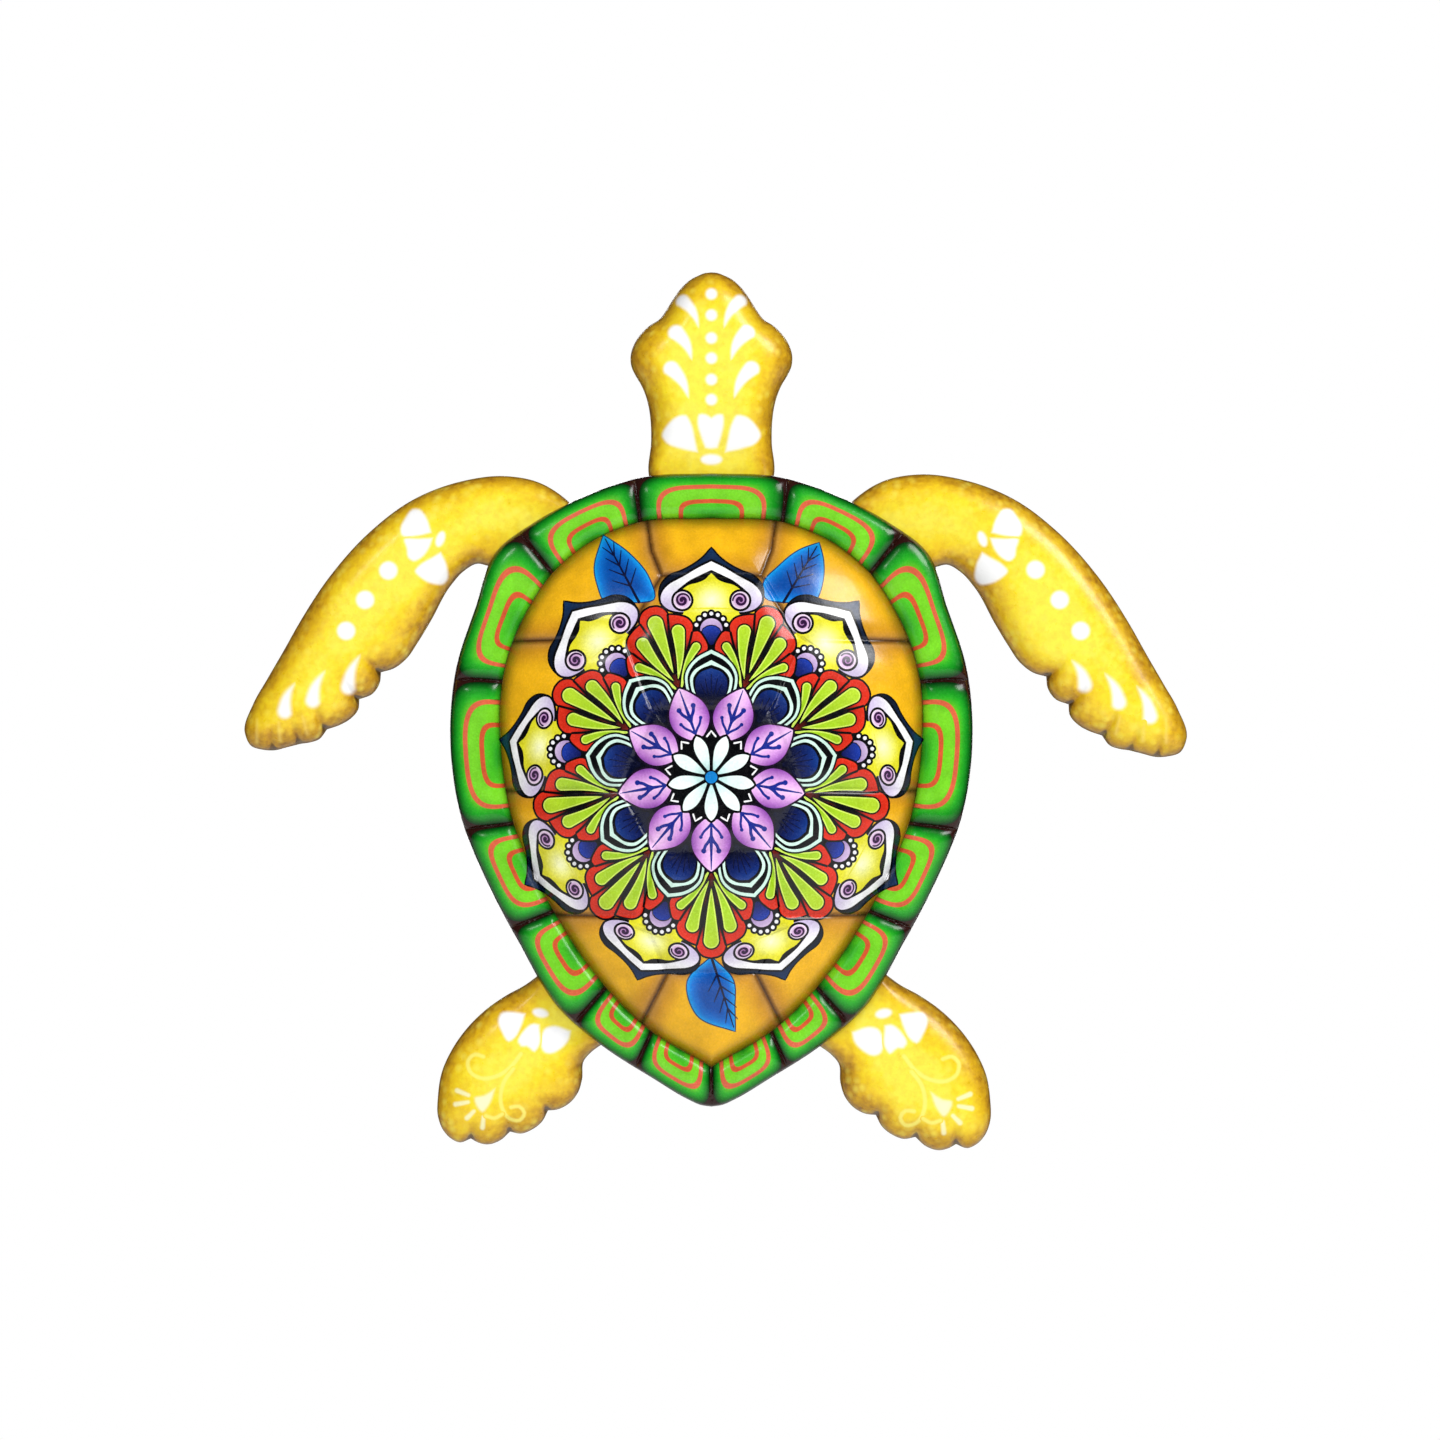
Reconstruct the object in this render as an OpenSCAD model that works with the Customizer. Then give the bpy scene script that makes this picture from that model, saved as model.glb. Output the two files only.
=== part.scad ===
// Stamped sheet-metal sea turtle wall plaque: a domed shell with a scalloped rim, a head and
// four flippers riveted behind the rim, and a swinging hanging ring on a cross strap.
// Frame: +Z up (head up), +X to the viewer's right, the front faces -Y, the wall is the plane y = 0.
// Origin: on the wall plane, where a hook bears on the ring when the ring is swung up.

/* [Sheet metal] */
// Thickness of the shell, head and flipper sheet
sheet = 0.8; // [0.6:0.1:1.2]
// Rivet shank radius
rivet_r = 1.6; // [1.2:0.1:2]
// Rivet head radius
rivet_head_r = 3; // [2.5:0.1:3.5]
// Rivet head height
rivet_head_h = 1; // [0.6:0.1:1.2]

/* [Shell] */
// Height of the shell's rear ledge above the wall
ledge_h = 8; // [7:0.5:10]
// Width of the turned-in ledge behind the rim
ledge_w = 9; // [7:0.5:10]
// Height of the rim's outer top edge above the wall
rim_edge_h = 11; // [10.5:0.5:12]
// Height of the groove between rim and dome above the wall
groove_h = 12; // [11:0.5:13]
// How far each rim scute swells above its edges
scute_swell = 4.5; // [2:0.5:6]
// Share of the swell left in the valley between two scutes
seam_share = 0.35; // [0.1:0.05:0.8]
// Rise of the dome above the groove
dome_rise = 24; // [16:1:30]

/* [Limbs] */
// Crown height of the limbs where they pass behind the ledge
limb_root_h = 8; // [7:0.5:8]
// Crown height of the flippers' blades
blade_h = 11; // [9:0.5:13]
// Crown height of the head
head_h = 14; // [10:0.5:16]
// Size of the left front flipper against the drawn outline
reach_left = 0.985; // [0.95:0.005:1.05]
// Size of the right front flipper against the drawn outline
reach_right = 1.015; // [0.95:0.005:1.05]
// Size of the right hind flipper against the left one
hind_reach_right = 1.04; // [0.95:0.005:1.05]

/* [Hanger] */
// Height of the cross strap's centre above the shell's centre
strap_z = 50; // [46:1:52]
// Width of the cross strap
strap_w = 10; // [8:1:12]
// Thickness of the cross strap
strap_t = 1.5; // [1:0.1:2]
// Half length of the cross strap
strap_half = 84; // [83:0.5:85]
// Wire radius of the hanging ring
wire_r = 1.25; // [1:0.05:1.5]
// Radius of the ring's round end, to the wire's centre
ring_r = 11; // [9:0.5:13]
// Radial clearance of the ring in its clip
eye_gap = 0.06; // [0.02:0.01:0.1]
// Thickness of the clip's sheet
clip_t = 1; // [0.8:0.1:1.2]
// Width of the clip
clip_w = 10; // [8:1:12]

/* [Hidden] */
$fn = 48;

curve_steps = 3;      // drawn points per stretch between two outline points
section_steps = 12;   // stretches across a limb's section
dome_steps = 12;      // stretches from the dome's crown to its edge
rim_steps = 9;        // stretches across the rim
scute_cuts = [0, 0.1, 0.3, 0.5, 0.7, 0.9];  // where a scute is cut along its length
end_gap = 3;          // from the strap's lower edge to the ring's bar
corner_r = 3;         // bend radius of the ring's corners, to the wire's centre

strap_back = ledge_h - strap_t;
eye_r = wire_r + eye_gap;
eye_y = strap_back - eye_r - clip_t;
eye_z = strap_z - strap_w / 2 - end_gap;
ring_reach = 2 * corner_r + ring_r;
hang_z = eye_z + ring_reach - wire_r;
rivet_inset = 5;

// Seams between the rim's scutes, in degrees from straight up, the same on both sides.
seam_deg = [15, 38, 67.5, 102.5, 128.5, 152, 166, 180];
seams = concat([for (i = [7:-1:0]) 90 + seam_deg[i]], [for (i = [0:6]) 90 - seam_deg[i]]);

// Right half of the rim's outer edge and of the dome's edge, from the top centre down.
rim_half = [[0, 105.7], [23, 104.6], [46, 97], [62, 88.5], [75, 78.5], [82.5, 58], [88.5, 40],
            [91, 20], [90.5, 4], [87, -15], [78.5, -36], [67, -58], [53, -81], [38.5, -93.5],
            [19, -106], [0, -115]];
dome_half = [[0, 90], [25.5, 88.5], [43.5, 80.8], [56, 70], [64.5, 57], [70.5, 43], [73.3, 28],
             [73, 8], [70, -12], [62, -33], [53, -50], [41, -68], [23, -87], [0, -101]];

// Stations of a limb from its hidden root to its tip: two edge points, the share of the way from
// root height to blade height, and how square the section is.
front_stations = [
    [[41, 84.5], [69.9, 62.4], 0, 40], [[50.5, 97.5], [80.2, 74.5], 0, 40],
    [[60.5, 103.2], [84.5, 73.4], 0.5, 4], [[72.4, 105.4], [89, 69.5], 0.9, 3],
    [[88, 103.5], [93.5, 63], 1, 2.5], [[105.4, 96.8], [98.9, 53.6], 1, 2.5],
    [[120, 85.9], [104.5, 44.5], 1, 2.5], [[135.1, 69.1], [113, 36.5], 0.9, 2.5],
    [[145, 54], [120, 28], 0.6, 2.5], [[151.2, 43], [127.5, 20], 0.3, 2.5],
    [[157, 33], [137.5, 13], 0, 2.5], [[161.8, 24.5], [147, 10.2], -0.5, 2.5],
    [[164.8, 14.2], [155, 8.2], -1, 2.5], [[163.2, 9.6], [160, 8], -1.6, 2.5]];
hind_stations = [
    [[51, -61], [28.5, -84], 0, 40], [[62.8, -72.8], [40.2, -95.6], 0, 40],
    [[72, -77.5], [43, -97], 0.4, 4], [[80, -83.5], [44.6, -103], 0.8, 3],
    [[86.5, -90], [46.4, -111.1], 1, 2.5], [[92, -98], [52, -116.5], 1, 2.5],
    [[95, -106], [59.7, -121.8], 0.7, 2.5], [[96.4, -114], [66.5, -125.8], 0.3, 2.5],
    [[96, -120.5], [75, -129], -0.4, 2.5], [[93.5, -126.5], [84, -129.8], -1.4, 2.5]];
head_stations = [
    [[14, 92], 0, 40], [[21.4, 107], 0, 40], [[21.1, 116], 0.45, 3], [[21.7, 127], 0.7, 2.5],
    [[24.9, 137.5], 0.9, 2.3], [[28.3, 146], 1, 2.2], [[25.6, 153.5], 1, 2.2], [[18.3, 160], 0.85, 2.2],
    [[13.4, 167], 0.55, 2.2], [[8, 172.8], 0.1, 2.2], [[3, 176.1], -0.6, 2.2]];
hind_blade_h = 10;

// Rivet places on the right-hand side, in the shell's plane.
front_rivets = [[53.4, 86.1], [68, 75]];
hind_rivets = [[51.8, -73.3], [40.5, -84.8]];
neck_rivets = [[10, 100.5], [-10, 100.5]];
strap_ends = [[80, strap_z], [-80, strap_z]];

// ---- curves ----
function spline_at(a, b, c, d, t) =
    0.5 * (2 * b + (c - a) * t + (2 * a - 5 * b + 4 * c - d) * t * t
           + (3 * b - a - 3 * c + d) * t * t * t);
function open_spline(p, n) =
    concat([for (i = [0:len(p) - 2], k = [0:n - 1])
                spline_at(p[max(i - 1, 0)], p[i], p[i + 1], p[min(i + 2, len(p) - 1)], k / n)],
           [p[len(p) - 1]]);
function straight_steps(p, n) =
    concat([for (i = [0:len(p) - 2], k = [0:n - 1]) p[i] + (p[i + 1] - p[i]) * k / n],
           [p[len(p) - 1]]);
function mirrored(half) =
    concat(half, [for (i = [len(half) - 2:-1:1]) [-half[i][0], half[i][1]]]);
function cross2(a, b) = a[0] * b[1] - a[1] * b[0];
// Distance from the centre to a closed outline in the direction a.
function reach_at(outline, a) =
    let (d = [cos(a), sin(a)], n = len(outline))
    max([for (i = [0:n - 1])
        let (p = outline[i], e = outline[(i + 1) % n] - p, den = cross2(d, e))
        if (abs(den) > 1e-9)
            let (t = cross2(p, e) / den, s = cross2(p, d) / den)
            if (s >= -1e-6 && s <= 1 + 1e-6 && t > 0) t]);

rim_outline = mirrored(open_spline(rim_half, curve_steps));
dome_outline = mirrored(open_spline(dome_half, curve_steps));

// ---- sheet surfaces ----
// A closed surface through rings of points; all rings have the same number of points.
function band_faces(rings, per_ring) =
    [for (i = [0:rings - 2], j = [0:per_ring - 1])
        let (a = i * per_ring + j, b = i * per_ring + (j + 1) % per_ring,
             c = a + per_ring, d = b + per_ring)
        each [[a, b, d], [a, d, c]]];
function fan_faces(first, per_ring, centre, flip) =
    [for (j = [0:per_ring - 1])
        let (a = first + j, b = first + (j + 1) % per_ring)
        flip ? [a, centre, b] : [a, b, centre]];

// Front profile of the shell along one ray: [distance from the centre, height above the wall].
function shell_profile(r_dome, r_rim, swell) =
    concat([for (i = [1:dome_steps]) let (t = i / dome_steps)
                [t * r_dome, groove_h + dome_rise * pow(max(1 - pow(t, 2.2), 0), 0.62)]],
           [for (i = [1:rim_steps]) let (s = i / rim_steps)
                [r_dome + s * (r_rim - r_dome),
                 groove_h + (rim_edge_h - groove_h) * s + swell * pow(max(sin(180 * s), 0), 0.7)]]);
// The same profile one sheet thickness further in.
function inside_of(p) =
    [for (i = [0:len(p) - 1])
        let (e = p[min(i + 1, len(p) - 1)] - p[max(i - 1, 0)],
             n = i == len(p) - 1 ? [-1, -1] : [e[1], -e[0]] / norm(e))
        p[i] + sheet * n];
function ledge_profile(r_rim) =
    [[r_rim, ledge_h], [r_rim - ledge_w, ledge_h], [r_rim - ledge_w, ledge_h + sheet],
     [r_rim - sheet, ledge_h + sheet]];
function shell_ring(r_dome, r_rim, swell) =
    let (front = shell_profile(r_dome, r_rim, swell), back = inside_of(front))
    concat(front, ledge_profile(r_rim), [for (i = [len(back) - 1:-1:0]) back[i]]);

function scute_angles() =
    [for (i = [0:len(seams) - 1])
        let (a = seams[i], b = i + 1 < len(seams) ? seams[i + 1] : seams[0] - 360)
        for (c = scute_cuts) [a + (b - a) * c, c == 0 ? seam_share : c == 0.1 || c == 0.9 ? 0.8 : 1]];

module shell_sheet() {
    rays = scute_angles();
    cuts = [for (r = rays)
        shell_ring(reach_at(dome_outline, r[0]), reach_at(rim_outline, r[0]), scute_swell * r[1])];
    rings = len(cuts[0]);
    per_ring = len(rays);
    points = [for (i = [0:rings - 1], j = [0:per_ring - 1])
        let (p = cuts[j][i], a = rays[j][0]) [p[0] * cos(a), -p[1], p[0] * sin(a)]];
    crown = groove_h + dome_rise;
    polyhedron(
        concat(points, [[0, -crown, 0], [0, -crown + sheet, 0]]),
        concat(fan_faces(0, per_ring, rings * per_ring, true),
               band_faces(rings, per_ring),
               fan_faces((rings - 1) * per_ring, per_ring, rings * per_ring + 1, false)));
}

// Section of a limb between two edge points: the front from edge to edge, then the back.
function limb_section(a, b, crown, square) =
    let (mid = (a + b) / 2, half = (b - a) / 2, shrink = 1 - sheet / norm(half))
    concat([for (j = [0:section_steps]) let (v = -cos(180 * j / section_steps))
                let (p = mid + half * v) [p[0], -crown * pow(max(1 - pow(abs(v), square), 0), 0.5), p[1]]],
           [for (j = [section_steps:-1:0]) let (v = -cos(180 * j / section_steps))
                let (p = mid + half * v * shrink)
                [p[0], -(crown - sheet) * pow(max(1 - pow(abs(v), square), 0), 0.5), p[1]]]);

module limb_sheet(stations, blade) {
    left = open_spline([for (s = stations) s[0]], curve_steps);
    right = open_spline([for (s = stations) s[1]], curve_steps);
    shape = straight_steps([for (s = stations) [s[2], s[3]]], curve_steps);
    sections = [for (i = [0:len(left) - 1])
        limb_section(left[i], right[i], limb_root_h + (blade - limb_root_h) * shape[i][0],
                     shape[i][1])];
    per_ring = len(sections[0]);
    half_ring = per_ring / 2;
    last = (len(sections) - 1) * per_ring;
    polyhedron([for (s = sections) each s],
        concat([for (f = band_faces(len(sections), per_ring)) [f[2], f[1], f[0]]],
               [for (j = [0:half_ring - 2]) let (k = per_ring - 1 - j) each
                   [[j, j + 1, k], [j + 1, k - 1, k]]],
               [for (j = [0:half_ring - 2]) let (k = per_ring - 1 - j) each
                   [[last + k, last + j + 1, last + j], [last + k, last + k - 1, last + j + 1]]]));
}

// Grows or shrinks a limb about the middle of its root.
function grown(stations, k) =
    let (root = (stations[1][0] + stations[1][1]) / 2)
    [for (s = stations) [root + (s[0] - root) * k, root + (s[1] - root) * k, s[2], s[3]]];

// ---- fasteners ----
// A rivet along y that clamps from height low to height high above the wall.
module rivet(at, low, high) {
    translate([at[0], -low, at[1]]) rotate([90, 0, 0]) {
        cylinder(h = high - low, r = rivet_r);
        translate([0, 0, high - low]) cylinder(h = rivet_head_h, r1 = rivet_head_r, r2 = rivet_r);
        translate([0, 0, -rivet_head_h]) cylinder(h = rivet_head_h, r1 = rivet_r, r2 = rivet_head_r);
    }
}
module rivet_holes(places) {
    for (p = places) translate([p[0], 0, p[1]]) rotate([90, 0, 0])
        cylinder(h = ledge_h + 2 * sheet, r = rivet_r);
}
function flipped(places) = [for (p = places) [-p[0], p[1]]];

// ---- sub-parts ----
module carapace() {
    color("darkgoldenrod") translate([0, 0, -hang_z]) difference() {
        shell_sheet();
        rivet_holes(concat(front_rivets, flipped(front_rivets), hind_rivets, flipped(hind_rivets),
                           neck_rivets, strap_ends));
    }
}

module head() {
    stations = [for (s = head_stations) [[-s[0][0], s[0][1]], s[0], s[1], s[2]]];
    color("gold") translate([0, 0, -hang_z]) difference() {
        limb_sheet(stations, head_h);
        rivet_holes(neck_rivets);
    }
}

module flipper(stations, blade, places) {
    color("gold") translate([0, 0, -hang_z]) difference() {
        limb_sheet(stations, blade);
        rivet_holes(places);
    }
}
module front_flipper_left() {
    mirror([1, 0, 0]) flipper(grown(front_stations, reach_left), blade_h, front_rivets);
}
module front_flipper_right() {
    flipper(grown(front_stations, reach_right), blade_h, front_rivets);
}
module hind_flipper_left() {
    mirror([1, 0, 0]) flipper(hind_stations, hind_blade_h, hind_rivets);
}
module hind_flipper_right() {
    flipper(grown(hind_stations, hind_reach_right), hind_blade_h, hind_rivets);
}

module cross_strap() {
    straight = strap_half - strap_w / 2;
    color("dimgray") translate([0, -strap_back, strap_z - hang_z]) rotate([90, 0, 0])
        difference() {
            union() {
                translate([-straight, -strap_w / 2, 0]) cube([2 * straight, strap_w, strap_t]);
                for (x = [-straight, straight]) translate([x, 0, 0])
                    cylinder(h = strap_t, r = strap_w / 2);
            }
            for (x = [strap_ends[0][0], strap_ends[1][0], 0]) translate([x, 0, -1])
                cylinder(h = strap_t + 2, r = rivet_r);
        }
}

module hanger_clip() {
    tab_top = strap_z + strap_w / 2 - 1;
    color("silver") translate([0, 0, -hang_z]) difference() {
        union() {
            translate([-clip_w / 2, -strap_back, eye_z]) cube([clip_w, clip_t, tab_top - eye_z]);
            translate([-clip_w / 2, -eye_y, eye_z]) rotate([0, 90, 0])
                cylinder(h = clip_w, r = eye_r + clip_t);
        }
        translate([-clip_w, -eye_y, eye_z]) rotate([0, 90, 0]) cylinder(h = 2 * clip_w, r = eye_r);
        translate([0, 0, strap_z]) rotate([90, 0, 0]) cylinder(h = ledge_h, r = rivet_r);
    }
}

// The ring hangs down: a straight bar in the clip, two bent corners and a round end.
module hanger_ring() {
    bar = ring_r - corner_r;
    color("silver") translate([0, -eye_y, eye_z - hang_z]) {
        rotate([0, 90, 0]) cylinder(h = 2 * bar, r = wire_r, center = true);
        for (side = [-1, 1]) {
            translate([side * bar, 0, -corner_r]) rotate([90, side < 0 ? -90 : 0, 0])
                rotate_extrude(angle = 90) translate([corner_r, 0]) circle(r = wire_r);
            translate([side * ring_r, 0, -2 * corner_r]) cylinder(h = corner_r, r = wire_r);
        }
        translate([0, 0, -2 * corner_r]) rotate([-90, 0, 0])
            rotate_extrude(angle = 180) translate([ring_r, 0]) circle(r = wire_r);
    }
}

module limb_rivets() {
    places = concat(front_rivets, flipped(front_rivets), hind_rivets, flipped(hind_rivets),
                    neck_rivets);
    color("silver") translate([0, 0, -hang_z])
        for (p = places) rivet(p, limb_root_h - sheet, ledge_h + sheet);
}
module strap_rivets() {
    color("silver") translate([0, 0, -hang_z])
        for (p = strap_ends) rivet(p, strap_back, ledge_h + sheet);
}
module hanger_rivet() {
    color("silver") translate([0, 0, -hang_z]) rivet([0, strap_z], strap_back - clip_t, ledge_h);
}

carapace();
head();
front_flipper_left();
front_flipper_right();
hind_flipper_left();
hind_flipper_right();
cross_strap();
hanger_clip();
hanger_ring();
limb_rivets();
strap_rivets();
hanger_rivet();
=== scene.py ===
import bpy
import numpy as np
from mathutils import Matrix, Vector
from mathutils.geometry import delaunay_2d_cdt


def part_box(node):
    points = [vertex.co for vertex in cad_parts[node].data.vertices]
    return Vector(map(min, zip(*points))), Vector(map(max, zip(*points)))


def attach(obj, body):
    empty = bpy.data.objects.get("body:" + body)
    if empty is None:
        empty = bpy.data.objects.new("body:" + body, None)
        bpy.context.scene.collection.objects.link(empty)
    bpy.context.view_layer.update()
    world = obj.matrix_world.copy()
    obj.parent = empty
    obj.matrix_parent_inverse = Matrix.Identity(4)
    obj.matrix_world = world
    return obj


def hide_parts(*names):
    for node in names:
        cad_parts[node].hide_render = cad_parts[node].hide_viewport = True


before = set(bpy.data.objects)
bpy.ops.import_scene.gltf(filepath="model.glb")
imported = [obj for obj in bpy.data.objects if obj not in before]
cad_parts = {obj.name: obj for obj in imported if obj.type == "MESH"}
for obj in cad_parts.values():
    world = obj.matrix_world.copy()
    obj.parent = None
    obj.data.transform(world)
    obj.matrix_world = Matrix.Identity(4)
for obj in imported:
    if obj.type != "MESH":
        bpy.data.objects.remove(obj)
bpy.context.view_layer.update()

# Looks of the stamped sheet-metal sea turtle wall plaque.
# Drawings are in mm about the shell's centre, x to the right and z up; a height is the distance
# from the wall, so a drawn point (x, z) at height h is at (x, -h, z) in the frame.

MM = 0.001
shell_low, shell_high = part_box("carapace")

# ---- driving sizes ----
SHEET = 0.8                                  # sheet thickness
TAIL = 115.0                                 # from the shell's centre down to its tail
CENTRE_Z = shell_low.z / MM + TAIL           # the shell's centre in the frame
LEDGE_H = -shell_high.y / MM                 # rear ledge above the wall
LEDGE_W = 9.0                                # width of the turned-in ledge
CROWN_H = -shell_low.y / MM                  # top of the dome above the wall
GROOVE_H = 12.0                              # groove between dome and rim
RIM_EDGE_H = 11.0                            # outer top edge of the rim
SCUTE_SWELL = 4.5                            # how far a rim scute swells
SEAM_SHARE = 0.38                            # share of the swell left between two scutes
SEAM_ROUNDING = 5.0                          # how far from a seam a scute rounds up
PLATE_CREASES = ((0.7, 0.8), (1.1, 4.5))     # depth and half width of a plate seam's two creases
BATCH = 4000                                 # points measured at a time
BACK_GRID = 2.4                              # spacing of the points of a stamping's back
EDGE_DARKENING = (0.25, 0.25, 0.25, 0)       # of the print's colour on a sheet's folded edge
FOLDS = 9                                    # the printed mandala's repeats
FOLD = 360 / FOLDS
DOWN_AXES = [180 + FOLD * k for k in range(FOLDS)]   # mandala axes, one straight down
UP_AXES = [FOLD * k for k in range(FOLDS)]           # axes between them, one straight up

# Right halves of the rim's and the dome's outlines, from the top centre down.
RIM_HALF = [(0, 105.7), (23, 104.6), (46, 97), (62, 88.5), (75, 78.5), (82.5, 58), (88.5, 40),
            (91, 20), (90.5, 4), (87, -15), (78.5, -36), (67, -58), (53, -81), (38.5, -93.5),
            (19, -106), (8.5, -112.3), (3.5, -114.5), (0, -TAIL)]
DOME_HALF = [(0, 90), (25.5, 88.5), (43.5, 80.8), (56, 70), (64.5, 57), (70.5, 43), (73.3, 28),
             (73, 8), (70, -12), (62, -33), (53, -50), (41, -68), (23, -87), (0, -101)]
# Seams between rim scutes, in degrees from straight up, at the dome's edge and at the rim's edge.
SEAMS_IN = [15.6, 38, 65.5, 103.2, 130.4, 153.4, 166.8, 180]
SEAMS_OUT = [14.3, 38.2, 69.4, 102, 126.9, 150.8, 165.3, 180]
# Seams between the dome's plates: a zigzag on each side, rows across, and rows out to the edge.
ZIGZAG = [(22.9, 92), (20.8, 78.4), (17.3, 69.7), (30, 48), (20, 23.1), (31, -4), (19, -25.9),
          (25, -48), (15.4, -68), (24.4, -86)]
ROWS = [(17.3, 69.7), (20, 23.1), (19, -25.9), (15.4, -67.5)]
COSTALS = [((30, 48), (72, 47)), ((31, -4), (74, -5)), ((25, -48), (58, -48))]


# ---- curves and outlines ----
def unit(v):
    return v / np.maximum(np.hypot(*v.T), 1e-9)[:, None]


def curve(points, step=1.0, closed=False):
    """A smooth curve through the points, cut into stretches of about step."""
    p = np.array(points, float)
    chord = np.roll(p, -1, 0) - p
    gap = np.maximum(np.hypot(*chord.T), 1e-9)
    slope = chord / gap[:, None]
    slope_before, gap_before = np.roll(slope, 1, 0), np.roll(gap, 1)
    tangent = (slope * gap_before[:, None] + slope_before * gap[:, None]) / (gap + gap_before)[:, None]
    if not closed:
        tangent[0], tangent[-1] = slope[0], slope_before[-1]
    pieces = []
    for i in range(len(p) if closed else len(p) - 1):
        j = (i + 1) % len(p)
        cuts = max(1, round(gap[i] / step))
        t = np.arange(cuts)[:, None] / cuts
        pieces.append((2 * t**3 - 3 * t**2 + 1) * p[i] + (3 * t**2 - 2 * t**3) * p[j]
                      + gap[i] * ((t**3 - 2 * t**2 + t) * tangent[i] + (t**3 - t**2) * tangent[j]))
    if not closed:
        pieces.append(p[-1:])
    return np.vstack(pieces)


def straight(points, step=1.0):
    """Straight stretches through the points, cut to about step."""
    p = np.array(points, float)
    rows = []
    for a, b in zip(p[:-1], p[1:]):
        cuts = max(1, round(np.hypot(*(b - a)) / step))
        rows.append(a + (b - a) * np.arange(cuts)[:, None] / cuts)
    return np.vstack(rows + [p[-1:]])


def joined(stretches, step=1.0):
    """A closed outline of smooth stretches that meet in corners."""
    return np.vstack([curve(s, step)[:-1] for s in stretches])


def both_sides(half, step=1.0):
    """A closed outline from its right half, which starts and ends on the axis."""
    right = curve(half, step) if not isinstance(half, np.ndarray) else half
    left = right[::-1] * (-1, 1)
    return np.vstack([right, left[1 if abs(right[-1, 0]) < 1e-6 else 0:
                                  -1 if abs(right[0, 0]) < 1e-6 else None]])


def circle(centre, radius, steps=24):
    return oval(centre, radius, radius, 0, steps)


def oval(centre, long_half, short_half, lean=0.0, steps=28):
    """An ellipse whose long half axis leans the given degrees from the x axis."""
    a, c, s = np.linspace(0, 2 * np.pi, steps, endpoint=False), *cos_sin(lean)
    u, v = long_half * np.cos(a), short_half * np.sin(a)
    return np.array(centre, float) + np.stack([u * c - v * s, u * s + v * c], 1)


def cos_sin(degrees):
    return np.cos(np.radians(degrees)), np.sin(np.radians(degrees))


def turned(p, degrees):
    """Drawn with r up the page, then turned clockwise about the shell's centre."""
    c, s = cos_sin(degrees)
    x, z = np.asarray(p, float).T
    return np.stack([x * c + z * s, z * c - x * s], 1)


def outward(p):
    """Outward unit normals of a closed outline."""
    e = np.roll(p, -1, 0) - np.roll(p, 1, 0)
    x, z = p.T
    turn = np.sign(np.sum(x * np.roll(z, -1) - np.roll(x, -1) * z))
    return unit(np.stack([e[:, 1], -e[:, 0]], 1)) * turn


def grown(p, distance):
    return p + outward(p) * distance


def stroke(path, width_start, width_end=None):
    """The outline of a stroke along a path, with round ends; its width changes evenly."""
    path = np.asarray(path, float)
    width_end = width_start if width_end is None else width_end
    half = np.linspace(width_start, width_end, len(path))[:, None] / 2
    along = unit(np.gradient(path, axis=0))
    side = np.stack([-along[:, 1], along[:, 0]], 1)
    caps = []
    for end, sign, h in ((-1, 1, half[-1]), (0, -1, half[0])):
        a = np.linspace(np.pi / 2, -np.pi / 2, 7)[1:-1, None]
        caps.append(path[end] + h * (np.sin(a) * side[end] * sign + np.cos(a) * along[end] * sign))
    return np.vstack([path + side * half, caps[0], (path - side * half)[::-1], caps[1]])


def drop(tip, centre, radius, bend=0.0, steps=14):
    """A teardrop from its tip to a round end; bend pushes its middle sideways."""
    tip, centre = np.array(tip, float), np.array(centre, float)
    along = (centre - tip) / np.hypot(*(centre - tip))
    side = np.array([-along[1], along[0]])
    t = np.linspace(0, 1, steps)[:, None]
    axis = tip + (centre - tip) * t + side * bend * np.sin(np.pi * t)
    half = radius * t**0.8
    a = np.linspace(np.pi / 2, -np.pi / 2, 12)[1:-1, None]
    cap = centre + radius * (np.sin(a) * side + np.cos(a) * along)
    return np.vstack([axis + side * half, cap, (axis - side * half)[:0:-1]])


def in_batches(measure):
    """Measures many points a batch at a time, which keeps the arrays small."""
    def measured(points, *others):
        starts = range(0, max(len(points), 1), BATCH)
        return np.concatenate([measure(points[k:k + BATCH], *others) for k in starts])

    return measured


@in_batches
def distances(points, line, closed=True):
    """Distance from each point to the nearest place on a line."""
    a, b = (line, np.roll(line, -1, 0)) if closed else (line[:-1], line[1:])
    e, d = b - a, points[:, None] - a
    t = np.clip((d * e).sum(2) / np.maximum((e**2).sum(1), 1e-12), 0, 1)
    return np.sqrt(((d - t[..., None] * e) ** 2).sum(2).min(1))


@in_batches
def inside(points, outline):
    """Which points lie inside a closed outline."""
    x1, z1 = outline.T
    x2, z2 = np.roll(outline, -1, 0).T
    x, z = points[:, :1], points[:, 1:]
    crossing = x1 + (z - z1) * (x2 - x1) / np.where(z2 == z1, 1e-12, z2 - z1)
    return (((z1 > z) != (z2 > z)) & (x < crossing)).sum(1) % 2 == 1


def clear_inside(points, outline, gap):
    """The points inside an outline and more than the gap from it."""
    points = points[inside(points, outline)]
    return points[distances(points, outline) > gap]


def clear_of(points, others, gap):
    """Which points lie at least the gap from all the others."""
    return np.array([((others - p) ** 2).sum(1).min() > gap**2 for p in points])


def smooth_step(x, low, high):
    t = np.clip((x - low) / (high - low), 0, 1)
    return t * t * (3 - 2 * t)


def round_over(x):
    """Rises from 0 like a quarter circle and stays at 1 from x = 1."""
    return np.sqrt(1 - (1 - np.clip(x, 0, 1)) ** 2)


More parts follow.
